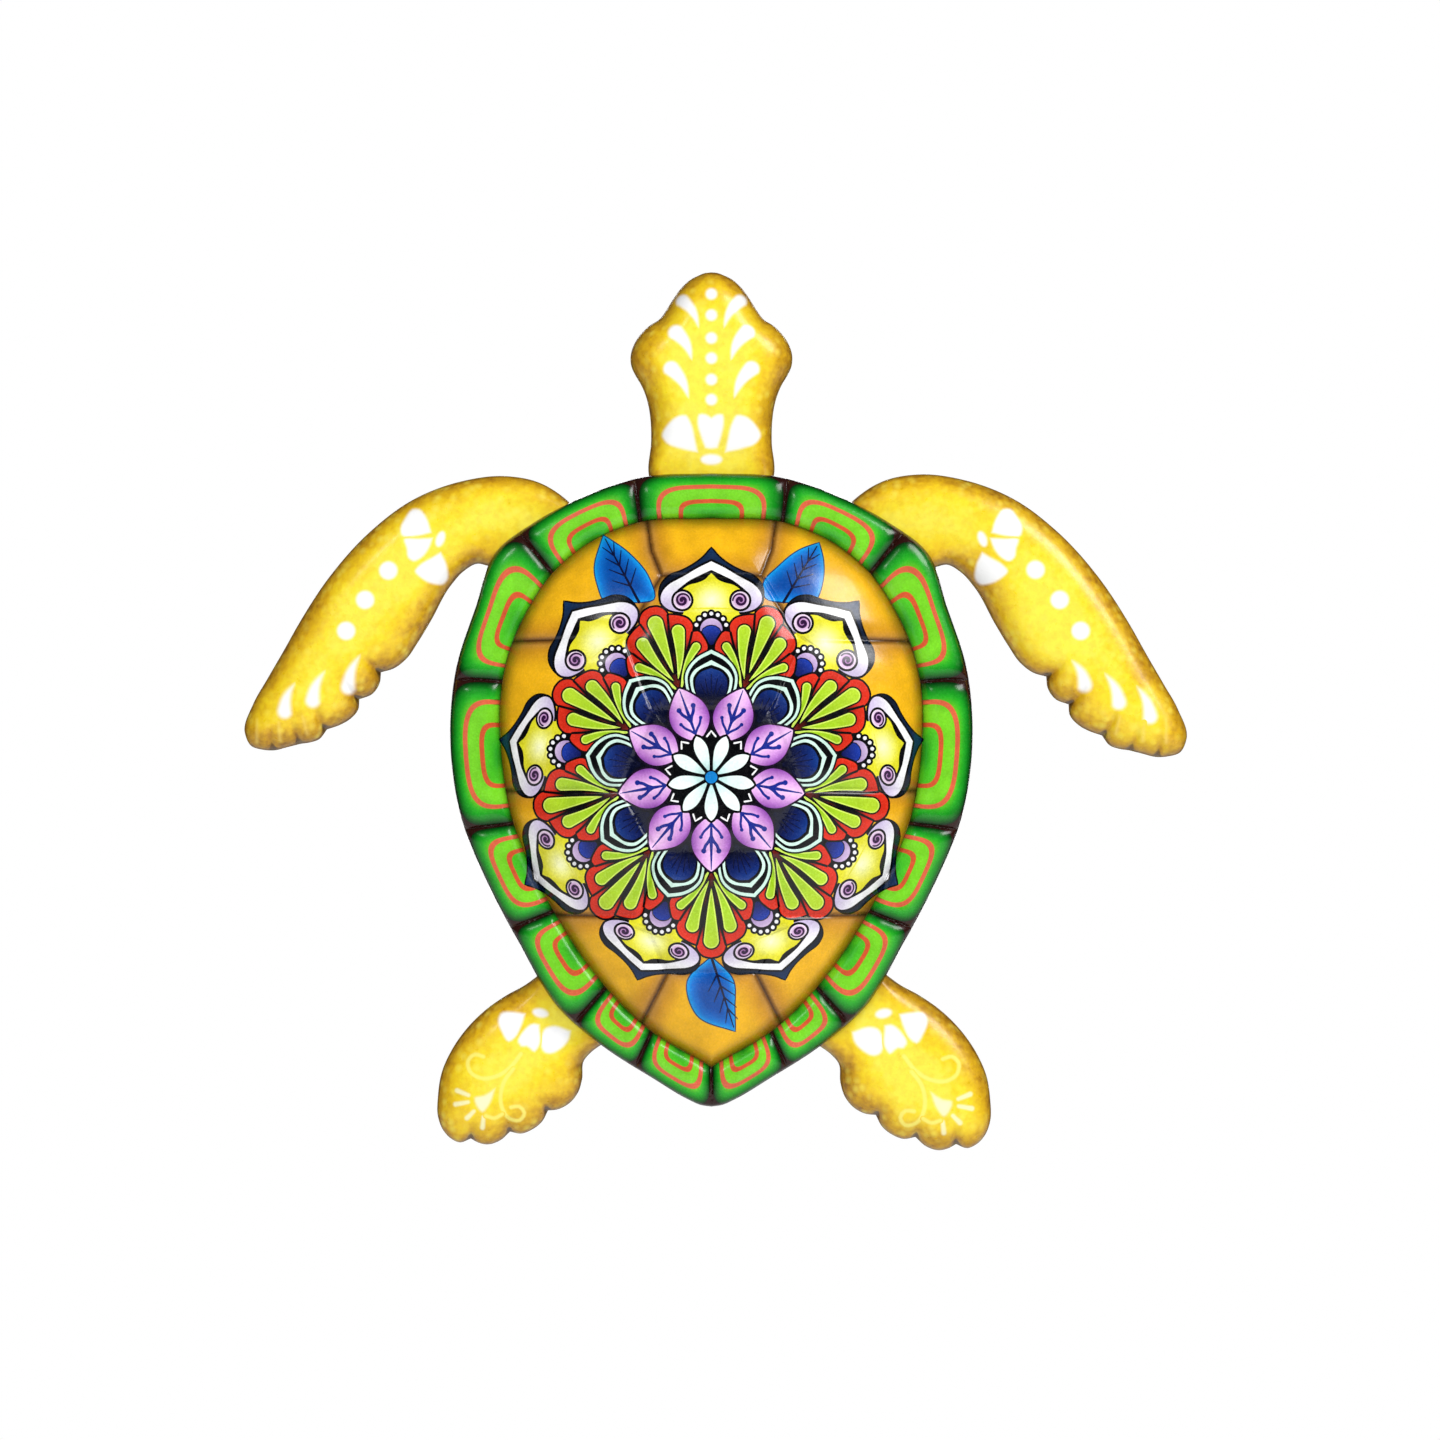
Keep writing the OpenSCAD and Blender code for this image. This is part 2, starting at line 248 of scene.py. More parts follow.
# ---- stamped sheets ----
def triangulate(outline, loose, art=()):
    """Triangles inside the outline, cut along the art, each with the number of the art on top."""
    parts = [outline] + [a[0] for a in art]
    edges, start = [], 0
    for part in parts:
        numbers = np.arange(len(part))
        edges += np.stack([numbers + start, (numbers + 1) % len(part) + start], 1).tolist()
        start += len(part)
    points = [Vector(p) for p in np.vstack(parts + [loose])]
    places, _, triangles, from_points, _, _ = delaunay_2d_cdt(points, edges, [], 0, 1e-4)
    places, triangles = np.array(places), np.array(triangles)
    middles = places[triangles].mean(1)
    kept = inside(middles, outline)
    triangles, middles = triangles[kept], middles[kept]
    tops = np.zeros(len(triangles), int)
    for number, part in enumerate(parts[1:], 1):
        near = np.flatnonzero(((middles > part.min(0)) & (middles < part.max(0))).all(1))
        tops[near[inside(middles[near], part)]] = number
    return places, triangles, tops, from_points


def border(triangles, count):
    """The loop of points round the triangles' outer edge, with the triangles on its left."""
    edges = np.vstack([triangles[:, [0, 1]], triangles[:, [1, 2]], triangles[:, [2, 0]]])
    keys, back = edges[:, 0] * count + edges[:, 1], edges[:, 1] * count + edges[:, 0]
    follow = dict(edges[~np.isin(keys, back)].tolist())
    loop = [next(iter(follow))]
    while follow[loop[-1]] != loop[0]:
        loop.append(follow[loop[-1]])
    return loop


def raised(places, heights):
    """Drawn places at their heights, in the frame."""
    return np.stack([places[:, 0], -heights, places[:, 1] + CENTRE_Z], 1) * MM


def slopes_to_normals(places, height, side):
    """Normals of a height field on the side that faces the viewer (1) or the wall (-1)."""
    step = 0.12
    rises = [(height(places + d) - height(places - d)) / (2 * step) for d in step * np.eye(2)]
    n = np.stack([-np.clip(rises[0], -6, 6), -np.ones(len(places)), -np.clip(rises[1], -6, 6)], 1)
    return side * n / np.sqrt((n**2).sum(1))[:, None]


def grid(outline, step, clear):
    """A staggered grid of points inside the outline, clear of its edge."""
    low, high = outline.min(0), outline.max(0)
    x, z = np.meshgrid(np.arange(low[0], high[0], step), np.arange(low[1], high[1], step * 0.87))
    x[1::2] += step / 2
    return clear_inside(np.stack([x.ravel(), z.ravel()], 1), outline, clear)


def behind(height):
    """Height of a sheet's back: a sheet's thickness behind its front, where it is steep too."""
    around = circle((0, 0), 1.2 * SHEET, 8)

    def back(p):
        beside = np.min([height(p + d) for d in around], 0)
        return np.maximum(np.minimum(height(p) - SHEET, beside - 0.3), 0.3)

    return back


def folded(points, ring, edge, rings):
    """Adds rings folded back from an edge: all points, faces, normals, and the last ring."""
    faces, normals = [], []
    for fold in rings:
        places, heights = fold(edge)
        following = len(points) + np.arange(len(ring))
        points = np.vstack([points, raised(places, heights)])
        quads = np.stack([np.roll(ring, -1), ring, following, np.roll(following, -1)], 1)
        corners = points[quads]
        across = np.cross(corners[:, 2] - corners[:, 0], corners[:, 3] - corners[:, 1])
        across /= np.maximum(np.sqrt((across**2).sum(1)), 1e-12)[:, None]
        faces += quads.tolist()
        normals.append(np.repeat(across, 4, 0))
        ring = following
    return points, faces, normals, ring, places


def back_sheet(edge, ring, rows, height, count):
    """Points, triangles and normals of the plain back, which closes the last ring."""
    rows = clear_inside(rows, edge, 0.5)
    between = grid(edge, BACK_GRID, 1.2)
    between = between[clear_of(between, rows, 1.2)]
    places, triangles, _, sources = triangulate(edge, np.vstack([rows, between]))
    same = {i: int(ring[min(s)]) for i, s in enumerate(sources) if s and min(s) < len(ring)}
    numbers = np.array([same.get(i, count + i) for i in range(len(places))])
    triangles = triangles[:, ::-1]
    normals = slopes_to_normals(places, height, -1)[triangles].reshape(-1, 3)
    return raised(places, behind(height)(places)), numbers[triangles].tolist(), normals


def stamping(name, outline, height, rings, loose, back_rows, art, paint, front_material):
    """A closed sheet: painted front, folded rings round its edge, and a plain back."""
    places, front, tops, _ = triangulate(outline, loose, art)
    ring = np.array(border(front, len(places)))
    normals = [slopes_to_normals(places, height, 1)[front].reshape(-1, 3)]
    points, ring_faces, ring_normals, last, edge = folded(
        raised(places, height(places)), ring, places[ring], rings)
    more, back_faces, back_normals = back_sheet(edge, last, back_rows, height, len(points))
    mesh = bpy.data.meshes.new(name)
    mesh.from_pydata(np.vstack([points, more]), [], front.tolist() + ring_faces + back_faces)
    shaded_as = np.ones(len(mesh.polygons), np.int32)
    shaded_as[:len(front) + len(ring)] = 0
    mesh.polygons.foreach_set("material_index", shaded_as)
    mesh.materials.append(front_material)
    mesh.materials.append(rear_paint())
    colours = np.zeros((len(mesh.loops), 4), np.float32)
    colours[:front.size] = print_colours(places, front, tops, [paint] + [a[1] for a in art])
    colours[front.size:front.size + 4 * len(ring)] = colours[0] * EDGE_DARKENING
    mesh.color_attributes.new("print", "FLOAT_COLOR", "CORNER").data.foreach_set(
        "color", colours.ravel())
    mesh.shade_smooth()
    mesh.normals_split_custom_set(np.vstack(normals + ring_normals + [back_normals]))
    obj = bpy.data.objects.new(name, mesh)
    bpy.context.scene.collection.objects.link(obj)
    return obj, places


def stands_for(obj, node):
    """The piece takes the place of a CAD node of the plaque."""
    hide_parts(node)
    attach(obj, "plaque")


def print_colours(places, triangles, tops, paints):
    """Linear colour and ink share at every corner, from the paint that lies on top."""
    colours = np.zeros((triangles.size, 4))
    corner_tops = np.repeat(tops, 3)
    corners = triangles.ravel()
    for number in np.unique(tops):
        chosen = corner_tops == number
        colours[chosen] = paints[number](places[corners[chosen]])
    rgb = np.clip(colours[:, :3] / 255, 0, 1)
    colours[:, :3] = np.where(rgb < 0.04045, rgb / 12.92, ((rgb + 0.055) / 1.055) ** 2.4)
    return colours


# ---- paints: sRGB colours 0 to 255, and the share of ink over the enamel ----
BLACK = (3, 3, 7)


def flat(colour, ink=1.0):
    return lambda p: np.tile((*colour, ink), (len(p), 1))


INK = flat(BLACK)


def ramp(values, stops):
    """Colours along the stops (value, colour)."""
    at = [s[0] for s in stops]
    rgb = [np.interp(values, at, [s[1][c] for s in stops]) for c in range(3)]
    return np.stack(rgb + [np.ones(len(values))], 1)


def shaded(key, *stops):
    return lambda p: ramp(key(p), stops)


def on_axis(paint, degrees):
    """A paint worked out in the drawing before it was turned."""
    return lambda p: paint(turned(p, -degrees))


# ---- the shell's form ----
rim_outline = both_sides(curve(RIM_HALF, 0.9))
dome_outline = both_sides(curve(DOME_HALF, 0.9))


def by_angle(outline):
    """Reach of an outline in a direction, and how squarely it crosses that direction."""
    angle = np.arctan2(outline[:, 1], outline[:, 0])
    reach = np.hypot(*outline.T)
    square = np.abs((unit(outline) * outward(outline)).sum(1))
    return (lambda a: np.interp(a, angle, reach, period=2 * np.pi),
            lambda a: np.interp(a, angle, square, period=2 * np.pi))


rim_reach, rim_square = by_angle(rim_outline)
dome_reach, dome_square = by_angle(dome_outline)
ANGLES = np.linspace(-np.pi, np.pi, 181)
softened = np.array([np.mean(dome_reach(a + np.linspace(-0.35, 0.35, 15))) for a in ANGLES])


def soft_reach(a):
    """Reach of the dome's outline with its corners averaged away."""
    return np.interp(a, ANGLES, softened, period=2 * np.pi)


def plate_seams():
    lines = []
    for side in (1, -1):
        lines += [np.array(line) * (side, 1.0) for line in (ZIGZAG, *COSTALS)]
    return lines + [np.array([(-x, z), (x, z)]) for x, z in ROWS]


PLATE_SEAMS = plate_seams()


def to_plate_seam(p):
    return np.min([distances(p, seam, False) for seam in PLATE_SEAMS], 0)


def scute_place(p):
    """Number of the rim scute, place along it (0 to 1), place across it, and its seams' angles."""
    x, z = p.T
    angle, r = np.arctan2(z, x), np.hypot(x, z)
    across = (r - dome_reach(angle)) / (rim_reach(angle) - dome_reach(angle))
    from_top = np.degrees(np.arctan2(np.abs(x), z))
    share = np.clip(across, 0, 1)
    seams = np.array([a + (b - a) * share for a, b in zip(SEAMS_IN, SEAMS_OUT)])
    seams = np.vstack([-seams[:1], seams])
    number = np.clip((from_top > seams[1:]).sum(0), 0, len(SEAMS_IN) - 1)
    low = np.take_along_axis(seams, number[None], 0)[0]
    high = np.take_along_axis(seams, number[None] + 1, 0)[0]
    return number, (from_top - low) / (high - low), across, low, high


def shell_height(p):
    """Height of the shell's front: a dome with creased seams inside a rim of swelling scutes."""
    x, z = p.T
    angle, r = np.arctan2(z, x), np.hypot(x, z)
    dome, rim = dome_reach(angle), rim_reach(angle)
    t = np.clip(r / dome, 0, 1)
    eased = soft_reach(angle) + (dome - soft_reach(angle)) * smooth_step(t, 0.3, 1)
    rise = (CROWN_H - GROOVE_H) * (1 - np.clip(r / eased, 0, 1) ** 2.2) ** 0.62
    seam = to_plate_seam(p)
    crease = sum(depth * np.exp(-(seam / width) ** 2) for depth, width in PLATE_CREASES)
    rise -= crease * np.minimum(rise / 4, 1)
    _, along, across, low, high = scute_place(p)
    from_dome = (r - dome) * dome_square(angle)
    from_edge = (rim - r) * rim_square(angle)
    from_seam = np.minimum(along, 1 - along) * np.radians(high - low) * r
    swell = round_over(from_dome / 6) ** 0.8 * round_over(from_edge / 6.5) ** 0.8
    swell *= SEAM_SHARE + (1 - SEAM_SHARE) * round_over(from_seam / SEAM_ROUNDING)
    edge = LEDGE_H + SHEET + (RIM_EDGE_H - LEDGE_H - SHEET) * round_over(from_edge / 1.2)
    rim_h = edge + (GROOVE_H - RIM_EDGE_H) * np.clip(1 - across, 0, 1) + SCUTE_SWELL * swell
    return np.where(r < dome, GROOVE_H + rise, rim_h)


def toward_centre(p, distance):
    return p * (1 - distance / np.hypot(*p.T))[:, None]


def level(places, height):
    return places, np.full(len(places), height)


# From the rim's edge down, in along the ledge, back out on top of it, and up the inside.
SHELL_RINGS = [
    lambda p: level(p, LEDGE_H),
    lambda p: level(toward_centre(p, LEDGE_W), LEDGE_H),
    lambda p: level(toward_centre(p, LEDGE_W), LEDGE_H + SHEET),
    lambda p: level(toward_centre(p, SHEET), LEDGE_H + SHEET),
    lambda p: (toward_centre(p, SHEET), behind(shell_height)(toward_centre(p, SHEET))),
]


# ---- the print on the shell ----
MAROON = (46, 16, 12)
CORAL = (216, 98, 64)
DEEP_CORAL = (208, 84, 44)
WHITE = (250, 250, 252)
LEAF_VEINS = 4                               # pairs of side veins
ARCH_LINE = 1.6                              # width of the rim's coral lines
RIM_WIDTH = 17.0                             # usual distance from dome to rim edge


def lined(outline, margin, paint, line=BLACK):
    """A painted shape on a dark line that shows round it."""
    return [(grown(outline, margin), flat(line)), (outline, paint)]


def dome_paint(p):
    """Amber plates that brown toward their printed seams, with painted shade darkening them toward the
    dome's edge.
    """
    seam = to_plate_seam(p)
    angle = np.arctan2(p[:, 1], p[:, 0])
    edge = (dome_reach(angle) - np.hypot(*p.T)) * dome_square(angle)
    colour = ramp(seam, [(0, (70, 42, 12)), (0.6, (140, 92, 30)), (1.6, (196, 140, 52)),
                         (3.5, (212, 150, 26)), (9, (244, 184, 20))])
    # painted shade: the plates darken within 5 mm of the dome's edge, where the dome drops into the groove
    colour[:, :3] *= (0.62 + 0.38 * smooth_step(edge, 0, 5))[:, None]
    return colour


def scute_point(number, along, across):
    """The drawn place of a point on a rim scute of the right side."""
    ends = np.array([(-SEAMS_IN[0], -SEAMS_OUT[0]), *zip(SEAMS_IN, SEAMS_OUT)])[number:number + 2]
    low, high = ends[:, :1] + np.diff(ends) * across
    angle = np.radians(90 - (low + (high - low) * along))
    r = dome_reach(angle) + (rim_reach(angle) - dome_reach(angle)) * across
    return np.stack([r * np.cos(angle), r * np.sin(angle)], 1)


def arch(number, side, width, depth, power):
    """An arch on a scute, open to the dome: its share of the scute's length and of its width."""
    a = np.linspace(0, np.pi, 41)
    u = np.sign(np.cos(a)) * np.abs(np.cos(a)) ** (2 / power)
    v = np.abs(np.sin(a)) ** (2 / power)
    up = scute_point(number, 0.5 + 0.5 * width * u, depth * v)
    foot = scute_point(number, 0.5 + 0.5 * width * np.linspace(-1, 1, 14)[1:-1], np.zeros(12))
    return np.vstack([up, foot]) * (side, 1)


def arch_measure(power, width, depth):
    """0 at the middle of an arch's foot, 1 on the arch."""
    def measure(p):
        _, along, across, _, _ = scute_place(p)
        u, v = np.abs(2 * along - 1) / width, np.clip(across, 0, 1) / depth
        return (u**power + v**power) ** (1 / power)
    return measure


def scute_art():
    """Every rim scute: green, with two coral arches that open to the dome."""
    art = []
    for number in range(len(SEAMS_IN)):
        ends = scute_point(number, np.array([0.0, 1.0]), np.array([0.5, 0.5]))
        length = np.hypot(*(ends[1] - ends[0]))
        gap, line_u, line_v = 1.2 / length, 2 * ARCH_LINE / length, ARCH_LINE / RIM_WIDTH
        layers = [
            (1 - gap, 0.994, 6.5, shaded(arch_measure(6.5, 1 - gap, 0.994), (0.72, (96, 196, 34)),
                                         (0.8, (40, 176, 34)), (0.9, (6, 134, 24)), (0.97, (0, 76, 14)),
                                         (1, (0, 36, 8)))),
            (0.76, 0.74, 4, flat(CORAL)),
            (0.76 - line_u, 0.74 - line_v, 4, shaded(arch_measure(4, 0.76, 0.74), (0.5, (110, 205, 28)),
                                                     (0.8, (122, 214, 38)), (1, (96, 196, 30)))),
            (0.46, 0.42, 4, flat(DEEP_CORAL)),
            (0.46 - line_u, 0.42 - line_v, 4, shaded(arch_measure(4, 0.46, 0.42), (0, (20, 140, 30)),
                                                     (0.5, (66, 186, 30)), (1, (84, 200, 34)))),
        ]
        for side in (1, -1) if number else (1,):
            art += [(arch(number, side, w, d, power), paint) for w, d, power, paint in layers]
    return art


def leaf_art():
    """Three blue leaves behind the mandala: tip, base, left side up and right side down."""
    leaves = [
        ((-37.6, 84), (-25, 60.5),
         [(-37.3, 61.3), (-39.2, 66), (-40.4, 71)], [(-28.5, 77.4), (-21.5, 68.6), (-20, 61.5)]),
        ((37.4, 81.3), (25, 60.5),
         [(18.8, 62), (18.1, 67), (23.1, 72.7), (30.3, 78.5)], [(38.8, 74.9), (38.5, 67.8), (36, 61.3)]),
        ((8.2, -88.2), (0, -62), [(7.6, -70.5), (8, -80)], [(-5, -82.3), (-8.2, -70.7)]),
    ]
    art = []
    for tip, base, left, right in leaves:
        outline = joined([[base, *left, tip], [tip, *right, base]], 1.5)
        blue = shaded(lambda p, o=outline: distances(p, o),
                      (0, (16, 158, 232)), (1.4, (4, 114, 206)), (4.5, (0, 74, 160)))
        art += lined(outline, 0.4, blue, (4, 40, 96))
        base, length = np.array(base), np.hypot(*np.subtract(tip, base))
        along = np.subtract(tip, base) / length
        side = np.array([-along[1], along[0]])
        art.append((stroke(straight([base, tip - along * 1.5], 3), 1.0, 0.4), flat((4, 12, 50))))
        for k in range(LEAF_VEINS):
            start = base + along * length * (0.24 + 0.15 * k)
            for turn in (1, -1):
                end = start + along * length * 0.17 + side * turn * (4.6 - 0.8 * k)
                art.append((stroke(straight([start, end], 2), 0.65, 0.3), flat((4, 14, 56))))
    return art


# Right halves of the mandala's shapes, drawn on an axis that points up the page.
SPIKE = [(0, 79.3), (2.2, 76.6), (5.2, 74.1), (10.2, 71.3), (14.6, 69.5), (17.2, 66.5), (17.8, 62.5),
         (16, 58)]
FRAME_OUT = [(0, 74.7), (5, 72.2), (8.7, 70), (11.8, 68.3), (14.4, 66.8), (16.5, 64.7), (17.5, 62.2),
             (17.2, 60.3), (15.6, 58.5), (12, 57.2), (8, 57)]
FRAME_IN = [(0, 71.5), (4, 69.6), (7.5, 67.8), (10, 65.9), (12.1, 64), (13.1, 62.3), (13.2, 60.3), (11, 58)]
FIELD = [(0, 70), (1.8, 68), (4.6, 66.7), (7.6, 65.9), (10.6, 63), (9, 58), (9.2, 54), (6.1, 50), (0, 47)]
CURL_AT, CURL_R = (10, 61.1), 3.9
BEADS_AT, BEADS_R, BEADS = (0, 51.2), 5.3, 9
STEEP_FROM = 58                              # the print is drawn closer in beyond this radius
CAP = [(0, 52.3), (1.5, 52), (2.7, 51.2), (3.2, 49.5), (2.6, 47), (0, 45.6)]
FAN_LOBES = [[(0, 62.2), (2.6, 61.6), (4.6, 59.5), (5, 57.8)],
             [(5, 57.8), (8.5, 56.2), (11, 54.2), (11.8, 51.5), (10.8, 49.2)],
             [(10.8, 49.2), (12.8, 48.9), (14, 45.9), (14.1, 42.5), (12.8, 40.8), (8.1, 39.5), (1.2, 33)]]
FAN_DIVIDERS = [[(5, 57.8), (3, 50.5), (1.6, 45), (0.6, 38)],
                [(10.8, 49.2), (8.2, 45.2), (5.5, 42), (1.2, 35.5)]]
FAN_DROP = [(1.2, 33), (3.8, 37.4), (7.1, 41.3), (10.5, 44.1)]
SPRIGS = [([(0, 15.9), (1.1, 17.3), (2.6, 18.8), (3.6, 20.6)], 0.85, 0.65),
          ([(0, 20.3), (0.8, 22), (2, 23.6), (2.6, 25.4)], 1.1, 0.9)]
NAVY = [(0, 37.6), (3.6, 36.2), (5.3, 34), (5.5, 31.5), (4.8, 28), (0, 22)]
MINT_IN = [(0, 38.8), (4.3, 36.9), (6.2, 34.3), (6.2, 31.5), (5.5, 29), (4, 26)]
MINT_OUT = [(0, 40.4), (3.1, 38.7), (5.9, 36.9), (7.3, 34.3), (7.15, 31.8), (6.4, 29), (4.5, 26)]
BAND_IN = [(0, 42.7), (4.6, 40.2), (7.1, 37.4), (8.15, 34.8), (8.05, 32.2), (7.2, 29), (5, 26)]
BAND_OUT = [(0, 44), (5, 41.2), (7.8, 38.1), (9, 35), (8.9, 32.2), (8, 29), (5.5, 26)]
LILAC = [(0, 32.5), (1.3, 31.6), (2.8, 30.1), (4.55, 28), (5.9, 26), (6.65, 23.8), (6.85, 21.7),
         (6.5, 19.6), (5.4, 17.5), (3.2, 15.2), (0, 13)]
MINT_PETAL = [(0, 15), (0.9, 14.2), (1.75, 12.8), (2.25, 11), (2.25, 9.5), (1.9, 7.5), (1.2, 5), (0.3, 2.6)]


def radius_of(p):
    return p[:, 1]


def across_of(width):
    return lambda p: np.abs(p[:, 0]) / width


def drawn_in(p, share):
    """Draws the outermost print closer in, as on the dome's steep sides."""
    beyond = np.maximum(p[:, 1] - STEEP_FROM, 0)
    return p - np.stack([0 * beyond, beyond * (1 - share)], 1)


def frame_layers():
    """Between two fans: a dark spike, a pale ogee frame, a yellow field, curls, and beads."""
    layers = lined(both_sides(SPIKE), 0.6, shaded(radius_of, (68, (8, 20, 40)), (79, (18, 50, 92))))
    layers += lined(both_sides(FRAME_OUT), 0.8, shaded(radius_of, (59, (205, 190, 225)),
                                                       (64, (236, 230, 246)), (67, WHITE)))
    layers += [(grown(both_sides(FRAME_IN), 0.2), INK),
               (grown(both_sides(FIELD), 0.55),
                shaded(lambda p: np.hypot(p[:, 0] / 1.1, p[:, 1] - 61),
                       (0, (254, 255, 214)), (3.5, (248, 248, 140)), (7, (230, 224, 40))))]
    layers += curl_layers(1) + curl_layers(-1) + bead_layers()
    layers += [(circle((0, 47), 4.6, 30), INK),
               (circle((0, 51), 3.85), shaded(radius_of, (47, (120, 90, 160)), (54.8, (214, 190, 226))))]
    return layers + lined(both_sides(CAP), 0.35,
                          shaded(radius_of, (45.6, (10, 18, 80)), (52.3, (26, 60, 170))))


def curl_layers(side):
    """A lilac disc with a dark spiral."""
    centre = np.array(CURL_AT) * (side, 1)
    turn, radius = np.linspace(0, 3 * np.pi, 40), np.linspace(2.6, 0.3, 40)
    spiral = centre + np.stack([-side * radius * np.cos(turn), radius * np.sin(turn)], 1)
    lilac = shaded(lambda p: np.hypot(*(p - centre).T),
                   (0, (150, 90, 160)), (1.6, (206, 158, 210)), (3, (240, 222, 240)))
    return [(circle(centre, CURL_R), INK), (circle(centre, CURL_R - 0.85), lilac),
            (stroke(spiral, 0.6, 1.3), flat((48, 16, 60)))]


def bead_layers():
    """An arc of white beads on a dark edge."""
    spots = [turned([(0, BEADS_R)], -100 + 25 * k)[0] + BEADS_AT for k in range(BEADS)]
    return ([(circle(BEADS_AT, BEADS_R + 0.3, 40), INK)]
            + [(circle(spot, 1.45, 14), INK) for spot in spots]
            + [(circle(spot, 0.68, 12), flat((240, 240, 245))) for spot in spots])


def fan_layers():
    """A red fan of five lobes with lime drops."""
    lobes = [curve(lobe, 1) for lobe in FAN_LOBES]
    outline = both_sides(np.vstack([lobe[:-1] for lobe in lobes[:-1]] + lobes[-1:]))
    layers = lined(outline, 0.7, shaded(
        lambda p: distances(p, outline) + 0.5 * np.maximum(43 - p[:, 1], 0),
        (0, (222, 48, 24)), (3, (204, 38, 18)), (5, (124, 24, 14)), (7.5, BLACK)))
    for side in (1, -1):
        layers += [(stroke(curve(np.array(d) * (side, 1), 2), 0.85), INK) for d in FAN_DIVIDERS]
    layers += lime_drop(drop((0, 38.2), (0, 56.4), 2.65))
    for side in (1, -1):
        layers += lime_drop(drop((side * 0.8, 35.6), (side * 6.5, 51.2), 2.25, side * -0.6))
    for side in (1, -1):
        layers += lime_drop(stroke(curve(np.array(FAN_DROP) * (side, 1), 1.2), 0.7, 3))
    return layers


def lime_drop(outline):
    lime = shaded(radius_of, (34, (150, 200, 24)), (56, (180, 216, 44)))
    return lined(outline, 0.55, flat((210, 236, 96)), (8, 10, 6)) + [(grown(outline, -0.45), lime)]


def navy_layers():
    """A navy petal with dark rays inside two mint bands."""
    layers = lined(both_sides(BAND_OUT), 0.6, flat((206, 240, 226)))
    layers += [(both_sides(BAND_IN), INK), (both_sides(MINT_OUT), flat((214, 246, 232))),
               (both_sides(MINT_IN), INK),
               (both_sides(NAVY), shaded(radius_of, (26, (2, 4, 22)), (31, (6, 22, 80)),
                                         (35, (12, 42, 114)), (37.6, (18, 62, 140))))]
    for lean in (-24, -12, 0, 12, 24):
        ray = turned([(0, 1), (0, 11.5 - abs(lean) / 9)], lean) + (0, 24)
        layers.append((stroke(straight(ray, 3), 0.3), flat((6, 10, 44))))
    return layers


def lilac_layers():
    """A lilac petal with a blue sprig."""
    layers = lined(both_sides(LILAC), 0.7, shaded(
        across_of(7), (0, (248, 206, 246)), (0.45, (220, 162, 228)), (0.8, (176, 106, 198)),
        (1, (128, 62, 160))), (20, 6, 34))
    ink = flat((22, 40, 140))
    layers += [(stroke(straight([(0, 15.2), (0, 22)], 2), 0.6, 1.25), ink),
               (stroke(straight([(0, 22), (0, 31.8)], 2), 1.25, 0.3), ink)]
    for side in (1, -1):
        for path, width, bulb in SPRIGS:
            path = curve(np.array(path) * (side, 1), 0.8)
            layers += [(stroke(path, width), ink), (circle(path[-1], bulb, 12), ink)]
    return layers


def mandala_art():
    """The printed flower, painted from the outside in."""
    art = []

    def repeat(layers, axes):
        for axis in axes:
            art.extend((turned(outline, axis), on_axis(paint, axis)) for outline, paint in layers)

    def drawn(paint, share):
        return lambda p: paint(drawn_in(p, 1 / share))

    for axis in UP_AXES:
        share = 0.78 if FOLD < axis < 360 - FOLD else 1.0
        repeat([(drawn_in(o, share), drawn(paint, share)) for o, paint in frame_layers()], [axis])
    art.append((circle((0, 0), 34, 72), INK))
    repeat(fan_layers(), DOWN_AXES)
    repeat(navy_layers(), UP_AXES)
    art.append((circle((0, 0), 19.5, 60), INK))
    repeat(lilac_layers(), DOWN_AXES)
    art.append((circle((0, 0), 14.6, 48), INK))
    mint = both_sides(MINT_PETAL, 0.8)
    repeat([(grown(mint, 0.85), INK)], DOWN_AXES)
    chevron = stroke(straight([(-1.5, 14.1), (0, 16), (1.5, 14.1)], 1), 0.6)
    repeat([(chevron, flat(WHITE))], UP_AXES)
    repeat([(mint, shaded(radius_of, (3, (190, 232, 230)), (7, (232, 254, 248)), (15, (244, 255, 252))))],
           DOWN_AXES)
    return art + [(circle((0, 0), 2.6, 24), INK), (circle((0, 0), 2.1, 24), flat((0, 130, 210)))]


def rows_beside(line, offsets, closed=False):
    """Rows of points at distances beside a line."""
    e = np.gradient(line, axis=0) if not closed else np.roll(line, -1, 0) - np.roll(line, 1, 0)
    side = unit(np.stack([e[:, 1], -e[:, 0]], 1))
    return np.vstack([line + side * d for d in offsets])


def turning_rows(beside_dome, beside_plates, beside_scutes, across):
    """Rows of points at distances beside the lines where the shell's form turns sharply."""
    rows = [rows_beside(dome_outline, beside_dome, True)]
    for seam in PLATE_SEAMS:
        fine = straight(seam, 1.2)
        rows.append(rows_beside(fine[inside(fine, dome_outline)], beside_plates))
    for number in range(1, len(SEAMS_IN)):
        seam = scute_point(number, np.zeros(len(across)), across)
        rows += [rows_beside(seam * (side, 1), beside_scutes) for side in (1, -1)]
    return np.vstack(rows)


def shell_points():
    """Loose points of the shell's front: rows, and a grid between them."""
    rows = turning_rows((-4, -2.6, -1.6, -0.8, -0.3, 0.3, 0.8, 1.6, 2.8), (-1.6, -0.8, 0, 0.8, 1.6),
                        (-3, -1.8, -0.9, -0.3, 0, 0.3, 0.9, 1.8, 3), np.linspace(0.03, 0.98, 16))
    edge = rows_beside(rim_outline, (-0.35, -0.8, -1.4, -2.2, -3.2, -4.4), True)
    return clear_inside(np.vstack([rows, edge, grid(rim_outline, 1.45, 0.6)]), rim_outline, 0.25)


def shell_back_rows():
    return turning_rows((-3, -1.8, -0.9, 0, 0.9, 1.8, 3), (-2.4, -1.2, 0, 1.2, 2.4),
                        (-2.4, -1.2, 0, 1.2, 2.4), np.linspace(0.06, 0.95, 18))


